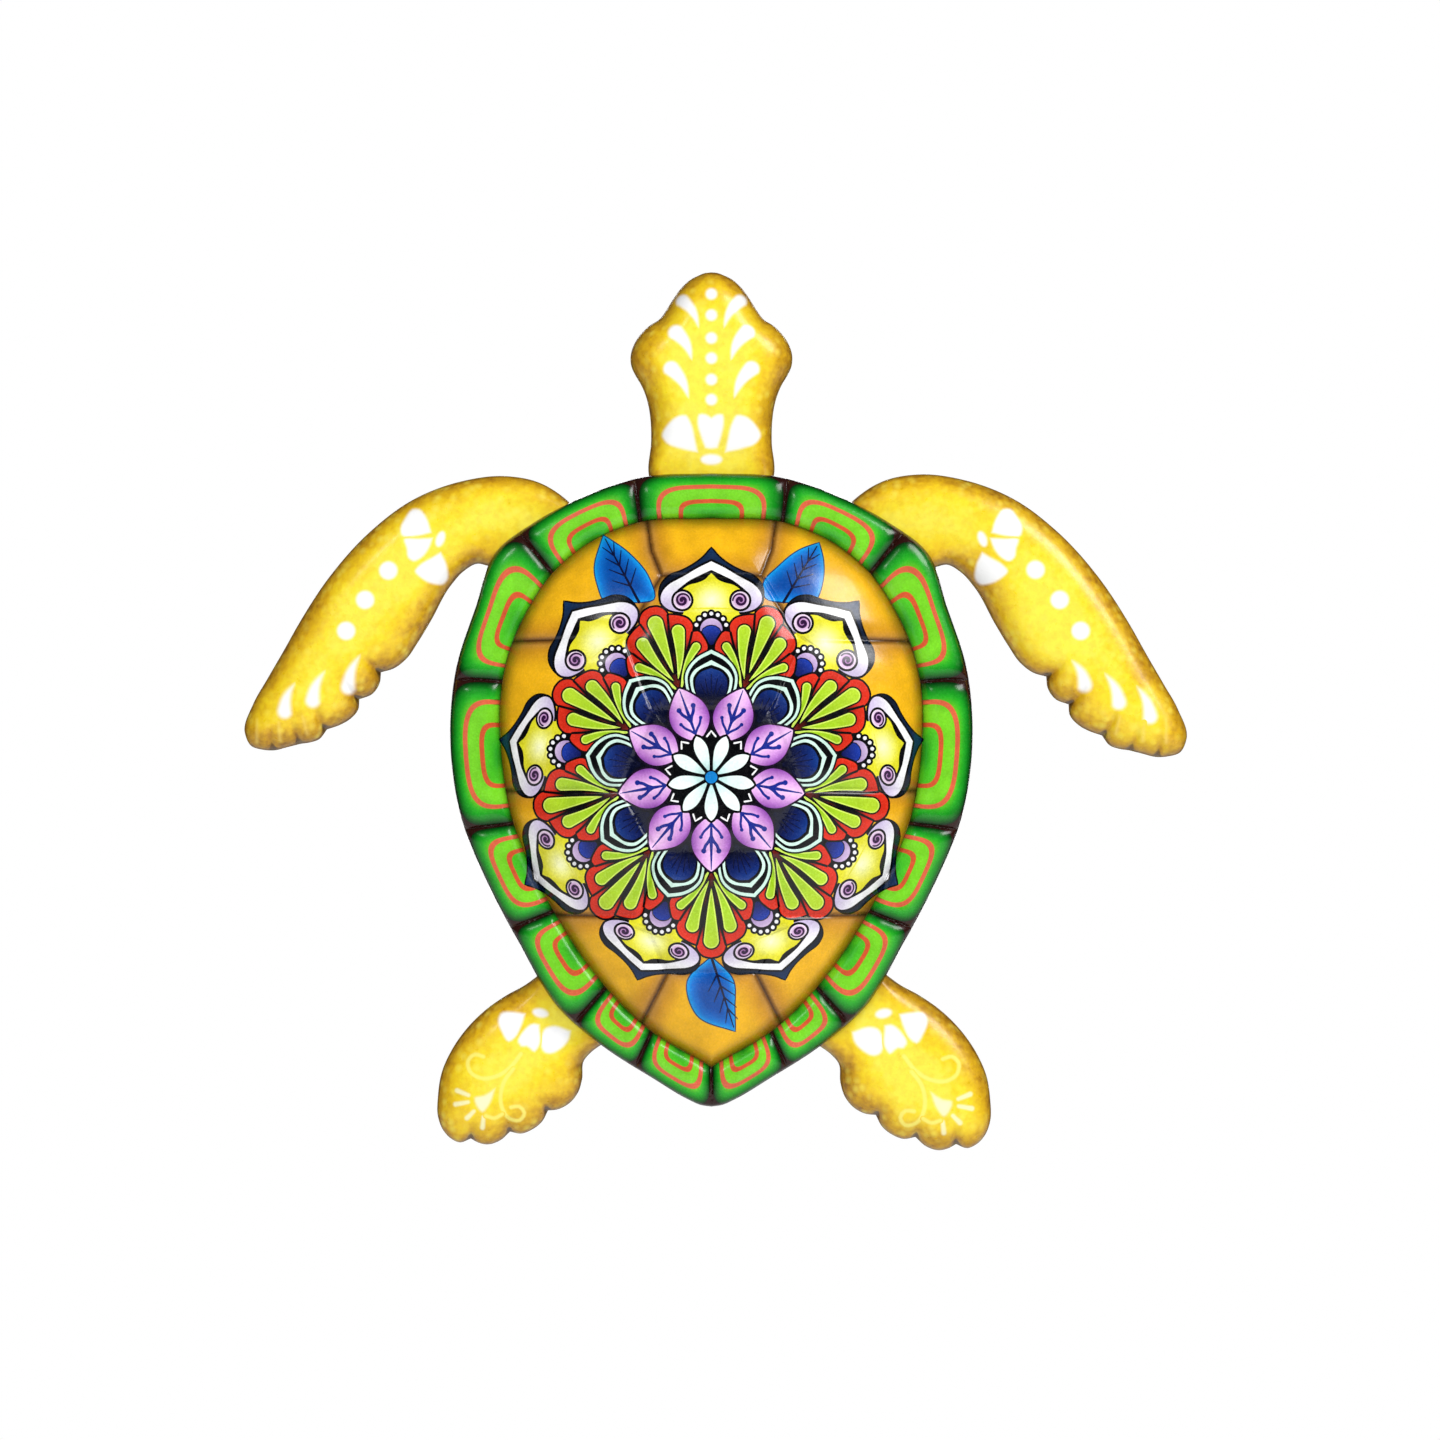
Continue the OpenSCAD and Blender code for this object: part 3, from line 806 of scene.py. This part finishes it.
# ---- limbs ----
FRONT_BLADE = [
    [(78.4, 73.5), (74.9, 67.4), (69.9, 62.4)], [(69.9, 62.4), (41, 84.5)],
    [(41, 84.5), (44.5, 90.5), (49, 95.6), (60.5, 103.2), (72.4, 105.4), (88, 103.5), (105.4, 96.8),
     (120, 85.9), (135.1, 69.1), (145, 54), (151.2, 43), (157, 33), (161.8, 24.5), (164.8, 14.2),
     (162.5, 9.5), (158.5, 8.2), (154, 8), (150, 9), (144.9, 10.3)],
    [(144.9, 10.3), (141.5, 10.8), (138.4, 11.9), (135.6, 15.4)],
    [(135.6, 15.4), (131, 17), (127.5, 19), (124.5, 22.5), (124.1, 26.1)],
    [(124.1, 26.1), (119.5, 28), (116.9, 31.8), (116.4, 35.7)],
    [(116.4, 35.7), (112, 37), (107.3, 40.6), (103.4, 46.2), (98.9, 53.6), (91.4, 66.8), (86.8, 71.8),
     (82, 74.3), (78.4, 73.5)]]
FRONT_ROOT = (65.35, 86)
FRONT_TOES = [[(154.3, 8), (155, 12), (155, 18)], [(144.9, 10.3), (146.6, 14.6), (147.4, 20.5)],
              [(135.6, 15.4), (138.2, 19.6), (139.6, 26)], [(124.1, 26.1), (127.6, 29.8), (130, 35.6)],
              [(116.4, 35.7), (120, 38.6), (122.8, 43.4)]]
HIND_BLADE = [
    [(38, -93.5), (28.5, -84)], [(28.5, -84), (51, -61)], [(51, -61), (60.7, -69.7)],
    [(60.7, -69.7), (64.9, -72.8), (71.9, -76.7), (78.9, -81.6), (85.6, -88.2), (91.2, -96.3),
     (94.3, -103.3), (95.7, -111.7), (95.7, -119), (94, -123.6), (91.2, -126.7), (88, -128.1),
     (84.2, -126.7)],
    [(84.2, -126.7), (81.7, -128.1), (78.6, -128.8), (74, -127.4), (70.5, -124.3)],
    [(70.5, -124.3), (66.7, -125), (62.8, -123.6), (59.3, -120.8), (57.2, -116.9)],
    [(57.2, -116.9), (54.1, -116.6), (49.9, -114.5), (46.7, -110.6), (45.3, -106.1), (44.6, -99.4),
     (42.2, -96.6), (38, -93.5)]]
HIND_ROOT = (49, -78)
HIND_TOES = [[(84.2, -126.7), (83.6, -122.5), (83.8, -118.5)], [(70.5, -124.3), (71, -120.4), (72.2, -117)],
             [(57.2, -116.9), (58.6, -113.6), (60.6, -111)]]
HEAD_HALF = [(0, 176.4), (2.2, 176.2), (4.3, 175.4), (7.4, 173.8), (10.2, 171.3), (13.4, 167),
             (16.1, 162.7), (18.4, 159.8), (21.3, 158), (24.7, 154.8), (27, 151.3), (28.3, 147),
             (28, 143.5), (26.4, 140), (24.7, 137.2), (23.2, 133.8), (22, 129.5), (21.3, 124.4),
             (21.1, 117.5), (21.8, 105), (18, 97), (14, 92)]
PALE = (255, 255, 255)
CREAM = (250, 250, 200)
TOE_DEPTH = 1.4                              # depth of the creases between the toes
TURN_IN = {"head": 11.0, "front": 11.5, "hind": 11.0}    # how far in each limb's edge rounds over


@in_batches
def smooth_inset(p, outline):
    """Grows from 0 at a limb's edge to its middle without creases."""
    a, b = outline, np.roll(outline, -1, 0)
    middle, size = (a + b) / 2, np.hypot(*(b - a).T)
    away = np.sqrt(((p[:, None] - middle) ** 2).sum(2))
    soft = np.sqrt(2 / (size / np.maximum(away, 0.05) ** 3).sum(1))
    exact = distances(p, outline)
    return exact + (soft - exact) * smooth_step(exact, 1, 2.5)


def limb_form(outline, top, turn_in, toes):
    """Height of a limb: a rounded crown that sinks to the ledge, with creases between the toes."""
    toe_lines = [curve(t, 1) for t in toes]

    def height(p):
        beyond_rim = np.hypot(*p.T) - rim_reach(np.arctan2(p[:, 1], p[:, 0]))
        rising = smooth_step(beyond_rim, 1.5, 26)
        crown = LEDGE_H - 0.05 + (top - LEDGE_H + 0.05) * rising
        rounding = 2.5 + (turn_in - 2.5) * smooth_step(beyond_rim, -6, 20)
        h = crown * round_over(smooth_inset(p, outline) / rounding) ** 0.9
        for line in toe_lines:
            away, reach = distances(p, line, False), np.hypot(*(p - line[-1]).T)
            h -= TOE_DEPTH * np.exp(-(away / 1.3) ** 2) * smooth_step(reach, 0, 8) * np.minimum(h / 4, 1)
        return h

    return height


def crease_shade(p, toes):
    """Painted shade in the creases between the toes: how far the edge's brown reaches in along them."""
    shade = np.zeros(len(p))
    for line in [curve(t, 1) for t in toes]:
        away, reach = distances(p, line, False), np.hypot(*(p - line[-1]).T)
        shade = np.maximum(shade, 2.2 * np.exp(-(away / 1.0) ** 2) * smooth_step(reach, 0, 7))
    return shade


def limb_rings(outline, height):
    def inner(p):
        nearest = [np.argmin(((outline - q) ** 2).sum(1)) for q in p]
        return p - outward(outline)[nearest] * SHEET

    return [lambda p: level(p, 0.0), lambda p: level(inner(p), 0.0),
            lambda p: (inner(p), behind(height)(inner(p)))]


def soft_motif(outline, colour=PALE, ink=1.0, blur=1.5):
    """A pale motif whose edge melts into the gold over a width of blur."""
    low, high = -0.65 * blur, 0.35 * blur

    def paint(p):
        away = distances(p, outline) * np.where(inside(p, outline), -1, 1)
        share = ink * (1 - smooth_step(away, low, high))
        return np.hstack([np.tile(colour, (len(p), 1)), share[:, None]])

    return [(grown(outline, low + (high - low) * k), paint) for k in (1, 0.7, 0.4, 0.15)]


def petals(*outlines, colour=PALE):
    """Motifs with smooth outlines that have one corner, at their first point."""
    art = []
    for points in outlines:
        art += soft_motif(joined([[*points, points[0]]], 1.2), colour)
    return art


def head_motifs():
    """Dots down the middle, drops beside them, and a flower at the neck."""
    art = []
    for z in (168, 160.6, 152.6, 145.6, 138.2, 131.2):
        art += soft_motif(circle((0, z), 2.1))
    side_petal = np.array([(4.7, 113), (10.9, 114.3), (15.6, 116.2), (17.3, 118.7), (15.4, 122.6),
                           (11.6, 125.6), (8.9, 125.9), (7.2, 123.4), (5.6, 117.4)])
    for side in (1, -1):
        for end, tip, radius in (((10, 165.6), (4.4, 156.1), 2.5), ((12.3, 154.4), (6.8, 144.9), 2.9),
                                 ((13.9, 141.8), (7.9, 131.6), 2.9)):
            art += soft_motif(drop((side * tip[0], tip[1]), (side * end[0], end[1]), radius, side * 1.1))
        art += petals(side_petal * (side, 1))
    middle = [[(0, 125), (-2, 126.2), (-4.4, 126.1), (-4.9, 123.8), (-3.9, 119), (-2.2, 114.6)],
              [(-2.2, 114.6), (0, 114.2), (2.2, 114.6)],
              [(2.2, 114.6), (3.6, 119), (4.4, 123.8), (4, 126.1), (2, 126.2), (0, 125)]]
    art += soft_motif(joined(middle, 1.2))
    return art + soft_motif(oval((0, 110.6), 3.85, 1.96))


# Painted highlights: pale streaks down the lobes of a front flipper's toes.
TOE_HIGHLIGHTS = [((150.4, 12.6), (150.8, 19)), ((158.6, 12), (158.4, 20)), ((141, 15), (142.4, 21))]
DOTS = {-1: [(112.5, 71.8), (120.6, 61.6), (127.2, 50.8)],
        1: [(112.9, 72.1), (121.3, 61.6), (128.6, 50.8)]}
DROPS = {-1: [((126.5, 31.2), (122.3, 42.4)), ((138.8, 26.6), (134.6, 36.8)),
              ((148.6, 22.8), (145.1, 32.6))],
         1: [((130, 31.9), (125.5, 40.6)), ((141.9, 25.9), (137, 36)), ((152.8, 21), (148.2, 31.5))]}


def front_motifs(side):
    """Flower, dots and drops of a front flipper, with painted highlights on its toes, drawn for the
    right-hand side.
    """
    art = petals([(97.5, 85), (99.2, 90.2), (101.8, 93.3), (104.2, 93.4), (106.8, 90.2),
                  (108.4, 86.4), (107.9, 84.2), (102, 83.9)],
                 [(97, 83.2), (102, 83), (107.1, 82.6), (106.2, 79.6), (105.6, 76.2), (103.8, 75),
                  (101, 76.2), (98.3, 79.6)],
                 [(94.3, 78.3), (97.4, 76.4), (101.4, 74), (103.3, 71.6), (101.2, 69.2), (97, 67.1),
                  (93.6, 67), (92.2, 68.4), (92.3, 74)])
    art += soft_motif(oval((94.4, 82.8), 2.9, 1.6, 110))
    for dot in DOTS[side]:
        art += soft_motif(circle(dot, 3.3))
    for end, tip in DROPS[side]:
        art += soft_motif(drop(tip, end, 2.7, 1.0), blur=2.2)
    # painted highlights on the toes' lobes
    for toe_highlight in TOE_HIGHLIGHTS:
        art += soft_motif(stroke(straight(toe_highlight, 2), 1.6, 0.8), (255, 226, 110), 0.55, 1.6)
    return art


BELL_RAYS = [((84.6, -111), (88.6, -109.4)), ((84.8, -113.4), (89.2, -114.2)),
             ((82.8, -116.6), (85.2, -119)), ((79.4, -118.6), (79.8, -122.4))]
SCROLLS = [[(66.4, -96.6), (70, -101.2), (75, -104.4), (80.4, -105), (84.2, -102.6), (84.8, -99),
            (82.4, -96.8), (79.4, -97.6)],
           [(69, -101.8), (72.2, -106.2), (73.4, -110.6), (73, -115.2), (70.4, -119.2), (66.8, -119.8),
            (65.2, -117.2), (67, -114.9), (69.8, -115.2)],
           [(72.8, -117.6), (75.6, -119), (78.6, -118.2)]]


def hind_motifs():
    """Flower, bell and scrolls of a hind flipper, drawn for the right-hand side."""
    art = petals([(49, -88.6), (55.4, -86.8), (57.6, -87.4), (58, -96.2), (56.2, -96.6), (52.6, -95),
                  (49.6, -91.6)],
                 [(59.9, -86.4), (62, -86), (65.6, -88.6), (67.4, -92.6), (66.4, -94), (64.4, -94),
                  (61.6, -95.9), (60.2, -94.2)],
                 [(64.8, -82.6), (68.4, -82), (73.6, -82.6), (74.4, -84.6), (73, -89.2), (70.6, -92.4),
                  (68.4, -91), (66.2, -87)])
    art += soft_motif(oval((59.6, -82.4), 2.9, 1.7, 12))
    art += petals([(75.2, -108.4), (79.4, -111), (82.6, -111.8), (82, -114.6), (79.8, -117),
                   (77.4, -114.4)], colour=CREAM)
    for ray in BELL_RAYS:
        art += soft_motif(stroke(straight(ray, 2), 1.5, 1.9), CREAM, 0.85, 0.9)
    for path in SCROLLS:
        art += soft_motif(stroke(curve(path, 1.2), 1.5), (254, 244, 120), 0.85, 0.8)
    return art


def mirrored(art):
    """The same art for the left-hand side."""
    return [(outline * (-1, 1), lambda p, paint=paint: paint(p * (-1, 1))) for outline, paint in art]


def scaled(outline, root, share):
    return (np.array(outline) - root) * share + root


def limb(name, outline, toes, art):
    """A gold limb that stands for the CAD node of that name."""
    top = -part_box(name)[0].y / MM
    height = limb_form(outline, top, TURN_IN[name.split("_")[0]], toes)
    insets = np.array([0.3, 0.7, 1.2, 1.9, 2.8, 4])
    rows = [rows_beside(outline, (*insets, *-insets), True)]
    rows += [rows_beside(curve(t, 0.7), (-2, -1.2, -0.6, 0, 0.6, 1.2, 2)) for t in toes]
    loose = np.vstack([clear_inside(np.vstack(rows), outline, 0.25), grid(outline, 1.5, 1.2)])
    creases = [rows_beside(curve(t, 1), (-1.3, 0, 1.3)) for t in toes]
    back_rows = np.vstack([rows_beside(outline, (-1.6, -2.6, 1.6, 2.6), True), *creases])
    obj, places = stamping(name + "_stamping", outline, height, limb_rings(outline, height), loose,
                           back_rows, art, flat((0, 0, 0), 0.0), gold_enamel())
    inset_with_crease_shade = np.zeros(len(obj.data.vertices), np.float32)
    # distance in from the edge, less the painted shade along the toe creases, which browns the gold there
    inset_with_crease_shade[:len(places)] = smooth_inset(places, outline) - crease_shade(places, toes)
    obj.data.attributes.new("inset_with_crease_shade", "FLOAT", "POINT").data.foreach_set("value", inset_with_crease_shade)
    stands_for(obj, name)


# ---- materials ----
class Graph:
    """A new material with its shader, and short calls that add and link nodes."""

    def __init__(self, name):
        self.material = bpy.data.materials.new(name)
        self.material.use_nodes = True
        self.nodes, self.links = self.material.node_tree.nodes, self.material.node_tree.links
        self.shader = self.nodes["Principled BSDF"]
        self.place = self.add("TexCoord").outputs["Object"]

    def add(self, kind, settings=None, **inputs):
        node = self.nodes.new("ShaderNode" + kind)
        for key, value in (settings or {}).items():
            setattr(node, key, value)
        for key, value in inputs.items():
            self.put(node.inputs[key.replace("_", " ")], value)
        return node

    def put(self, socket, value):
        if isinstance(value, bpy.types.NodeSocket):
            self.links.new(value, socket)
        else:
            socket.default_value = value

    def attribute(self, name):
        return self.add("Attribute", {"attribute_name": name})

    def noise(self, scale, detail=3.0, rough=0.55, stretch=None):
        place = self.place
        if stretch:
            place = self.add("Mapping", Vector=place, Scale=stretch).outputs["Vector"]
        node = self.add("TexNoise", Vector=place, Scale=scale, Detail=detail, Roughness=rough)
        return node.outputs["Fac"]

    def varied(self, low, high, *noise):
        """Noise that mostly stays between two values."""
        return self.spread(self.noise(*noise), 0.3, 0.7, low, high)

    def spread(self, value, low, high, to_low, to_high):
        node = self.add("MapRange", Value=value)
        limits = {"From Min": low, "From Max": high, "To Min": to_low, "To Max": to_high}
        for key, number in limits.items():
            node.inputs[key].default_value = number
        return node.outputs["Result"]

    def maths(self, operation, a, b):
        node = self.nodes.new("ShaderNodeMath")
        node.operation = operation
        self.put(node.inputs[0], a)
        self.put(node.inputs[1], b)
        return node.outputs[0]

    def ramp(self, value, stops):
        node = self.add("ValToRGB", Fac=value)
        marks = node.color_ramp.elements
        while len(marks) < len(stops):
            marks.new(0.5)
        for mark, (at, colour) in zip(marks, stops):
            mark.position = at
            mark.color = (*linear(colour), 1)
        return node.outputs["Color"]

    def mix(self, share, a, b, blend_type="MIX"):
        node = self.add("Mix", {"data_type": "RGBA", "blend_type": blend_type})
        self.put(node.inputs["Factor"], share)
        self.put(node.inputs[6], a)
        self.put(node.inputs[7], b)
        return node.outputs[2]

    def bump(self, height, strength, distance, **under):
        node = self.add("Bump", Height=height, Strength=strength, Distance=distance, **under)
        return node.outputs["Normal"]

    def finish(self, **inputs):
        for key, value in inputs.items():
            self.put(self.shader.inputs[key.replace("_", " ")], value)
        return self.material


def linear(colour):
    rgb = np.array(colour) / 255
    return tuple(np.where(rgb < 0.04045, rgb / 12.92, ((rgb + 0.055) / 1.055) ** 2.4))


def once(make):
    """Makes a material the first time it is asked for."""
    made = []

    def get():
        if not made:
            made.append(make())
        return made[0]

    return get


@once
def printed_enamel():
    """The shell's print under a clear coat with a fine pebbled surface."""
    g = Graph("printed_enamel")
    ink = g.attribute("print").outputs["Color"]
    cloud = g.varied(0.86, 1.12, 120, 4)
    grain = g.varied(0.93, 1.07, 1400, 2)
    colour = g.mix(1.0, ink, g.maths("MULTIPLY", cloud, grain), "MULTIPLY")
    rough = g.varied(0.2, 0.32, 700, 3)
    pebbles = g.bump(g.noise(1300, 2), 0.12, 0.0003)
    waves = g.bump(g.noise(160, 2), 0.12, 0.0008, Normal=pebbles)
    return g.finish(Base_Color=colour, Roughness=rough, Normal=waves, Coat_Weight=0.25,
                    Coat_Roughness=0.12, Specular_IOR_Level=0.38)


@once
def gold_enamel():
    """Mottled yellow-gold enamel, browned toward the edge, with painted shade in the toe creases and pale
    motifs.
    """
    g = Graph("gold_enamel")
    motif = g.attribute("print")
    # this attribute also carries the painted shade along the toe creases
    inset_with_crease_shade = g.attribute("inset_with_crease_shade").outputs["Fac"]
    cloud = g.varied(-3.4, 3.2, 55, 4, 0.6)
    speck = g.varied(-1.2, 1.2, 480, 2, 0.5)
    cloud = g.maths("MULTIPLY", cloud, g.spread(inset_with_crease_shade, 0, 4, 0.1, 1))
    depth = g.spread(g.maths("ADD", inset_with_crease_shade, g.maths("ADD", cloud, speck)), -1, 12, 0, 1)
    gold = g.ramp(depth, [(0.0, (150, 100, 8)), (0.12, (190, 136, 10)), (0.3, (224, 174, 14)),
                          (0.5, (244, 204, 20)), (0.75, (252, 226, 34)), (1.0, (255, 238, 70))])
    mottle = g.spread(g.noise(330, 4, 0.65), 0.42, 0.75, 0.0, 0.34)
    gold = g.mix(mottle, gold, (0.66, 0.4, 0.01, 1))
    cells = g.add("TexVoronoi", Vector=g.place, Scale=270, Randomness=1.0).outputs["Distance"]
    bubble = g.spread(cells, 0.12, 0.5, 0.5, 0.0)
    few = g.spread(g.noise(90, 2), 0.4, 0.6, 0.0, 1.0)
    gold = g.mix(g.maths("MULTIPLY", bubble, few), gold, (1.0, 0.86, 0.1, 1))
    outline = g.spread(inset_with_crease_shade, 0.0, 0.7, 0.4, 1.0)
    gold = g.mix(1.0, gold, outline, "MULTIPLY")
    colour = g.mix(motif.outputs["Alpha"], gold, motif.outputs["Color"])
    rough = g.varied(0.26, 0.46, 600, 3)
    pebbles = g.bump(g.noise(1300, 2), 0.22, 0.0003)
    return g.finish(Base_Color=colour, Roughness=rough, Normal=pebbles, Coat_Weight=0.3,
                    Coat_Roughness=0.18)


@once
def rear_paint():
    """Satin black paint on the back, dusty and a little uneven."""
    g = Graph("rear_black_paint")
    colour = g.ramp(g.noise(45, 5, 0.6),
                    [(0.3, (24, 24, 26)), (0.55, (36, 36, 38)), (0.75, (56, 54, 52))])
    rough = g.varied(0.38, 0.6, 400, 3)
    return g.finish(Base_Color=colour, Roughness=rough, Normal=g.bump(g.noise(900, 3), 0.3, 0.0003))


@once
def zinc_steel():
    """Zinc-plated steel, brushed along x, with faint stains."""
    g = Graph("zinc_steel")
    brushed = g.noise(500, 3, 0.6, (0.06, 1, 1))
    colour = g.ramp(g.noise(90, 4),
                    [(0.3, (150, 152, 156)), (0.6, (188, 190, 194)), (0.8, (206, 204, 196))])
    rough = g.spread(brushed, 0.3, 0.7, 0.24, 0.44)
    return g.finish(Base_Color=colour, Metallic=1.0, Roughness=rough, Normal=g.bump(brushed, 0.2, 0.0002))


@once
def pale_floor():
    """Plain pale floor."""
    g = Graph("floor")
    colour = g.ramp(g.noise(3, 3), [(0.3, (236, 236, 236)), (0.7, (246, 246, 246))])
    return g.finish(Base_Color=colour, Roughness=0.7)


# ---- the plaque ----
def build_shell():
    art = [(dome_outline, dome_paint)] + scute_art() + leaf_art() + mandala_art()
    obj, _ = stamping("shell_stamping", rim_outline, shell_height, SHELL_RINGS, shell_points(),
                      shell_back_rows(), art, flat(MAROON), printed_enamel())
    stands_for(obj, "carapace")


def flipper(name, side, root, share, blade, toes, art):
    """A flipper drawn for the right-hand side, sized about its root and turned to its side."""
    toes = [scaled(toe, root, share) * (side, 1) for toe in toes]
    outline = scaled(joined(blade, 0.9), root, share) * (side, 1)
    limb(name + ("_left" if side < 0 else "_right"), outline, toes, mirrored(art) if side < 0 else art)


def build_limbs():
    limb("head", both_sides(curve(HEAD_HALF, 0.9)), [], head_motifs())
    for side, share in ((-1, 0.985), (1, 1.015)):
        flipper("front_flipper", side, FRONT_ROOT, share, FRONT_BLADE, FRONT_TOES, front_motifs(side))
    for side, share in ((-1, 1.0), (1, 1.04)):
        art = [(scaled(outline, HIND_ROOT, share),
                lambda p, paint=paint, share=share: paint(scaled(p, HIND_ROOT, 1 / share)))
               for outline, paint in hind_motifs()]
        flipper("hind_flipper", side, HIND_ROOT, share, HIND_BLADE, HIND_TOES, art)


def dress_hardware():
    """The CAD pieces of the hanger stay as they are and take their finishes."""
    finishes = dict.fromkeys(("hanger_clip", "hanger_ring", "limb_rivets", "strap_rivets",
                              "hanger_rivet"), zinc_steel())
    for name, material in (*finishes.items(), ("cross_strap", rear_paint())):
        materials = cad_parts[name].data.materials
        materials.clear()
        materials.append(material)


# ---- camera, light and floor ----
FRAME_WIDTH = 0.504                          # width of the view at the wall
CAMERA_DISTANCE = 2.2                        # from the wall, straight in front
CAMERA_X, CAMERA_Z = 0.003, -0.038
SENSOR = 36                                  # camera sensor, mm
FLOOR_Z = -0.44
AIM = (0, 0, -0.03)                          # what the lights point at


def set_camera():
    data = bpy.data.cameras.new("camera")
    data.sensor_width = SENSOR
    data.lens = SENSOR * CAMERA_DISTANCE / FRAME_WIDTH
    camera = bpy.data.objects.new("camera", data)
    camera.location = (CAMERA_X, -CAMERA_DISTANCE, CAMERA_Z)
    camera.rotation_euler = (np.pi / 2, 0, 0)
    bpy.context.scene.collection.objects.link(camera)
    bpy.context.scene.camera = camera


def area_light(name, place, size, power, mirrored_in_gloss=True):
    data = bpy.data.lights.new(name, "AREA")
    data.shape, data.size, data.energy = "SQUARE", size, power
    light = bpy.data.objects.new(name, data)
    light.visible_camera = False
    light.visible_glossy = mirrored_in_gloss
    light.location = place
    light.rotation_euler = (Vector(AIM) - Vector(place)).to_track_quat("-Z", "Y").to_euler()
    bpy.context.scene.collection.objects.link(light)


def set_floor():
    bpy.ops.mesh.primitive_plane_add(size=1)
    floor = bpy.context.object
    floor.name = "floor"
    floor.scale = (3.0, 2.4, 1)
    floor.location = (0, -0.4, FLOOR_Z)
    floor.data.materials.append(pale_floor())


def set_lights():
    area_light("key", (1.15, -1.15, 1.0), 0.8, 19)
    area_light("window", (-0.9, -1.9, 0.9), 0.35, 4)
    area_light("front", (-0.3, -2.0, 0.3), 1.2, 17, False)
    area_light("rear", (0, 2.4, 0.1), 1.2, 24)


def set_backdrop():
    """White behind the plaque, and only a little light from it on the plaque."""
    world = bpy.data.worlds.new("studio")
    world.use_nodes = True
    nodes, links = world.node_tree.nodes, world.node_tree.links
    path = nodes.new("ShaderNodeLightPath")
    backdrop = nodes["Background"]
    for ray, strength in (("Is Glossy Ray", 0.03), ("Is Diffuse Ray", 0.26)):
        glow = nodes.new("ShaderNodeBackground")
        glow.inputs["Color"].default_value = (1, 1, 1, 1)
        glow.inputs["Strength"].default_value = strength
        mix = nodes.new("ShaderNodeMixShader")
        links.new(path.outputs[ray], mix.inputs[0])
        links.new(backdrop.outputs[0], mix.inputs[1])
        links.new(glow.outputs[0], mix.inputs[2])
        backdrop = mix
    nodes["Background"].inputs["Color"].default_value = (1, 1, 1, 1)
    links.new(backdrop.outputs[0], nodes["World Output"].inputs["Surface"])
    bpy.context.scene.world = world
    bpy.context.scene.view_settings.view_transform = "Standard"


build_shell()
build_limbs()
dress_hardware()
set_camera()
set_floor()
set_lights()
set_backdrop()
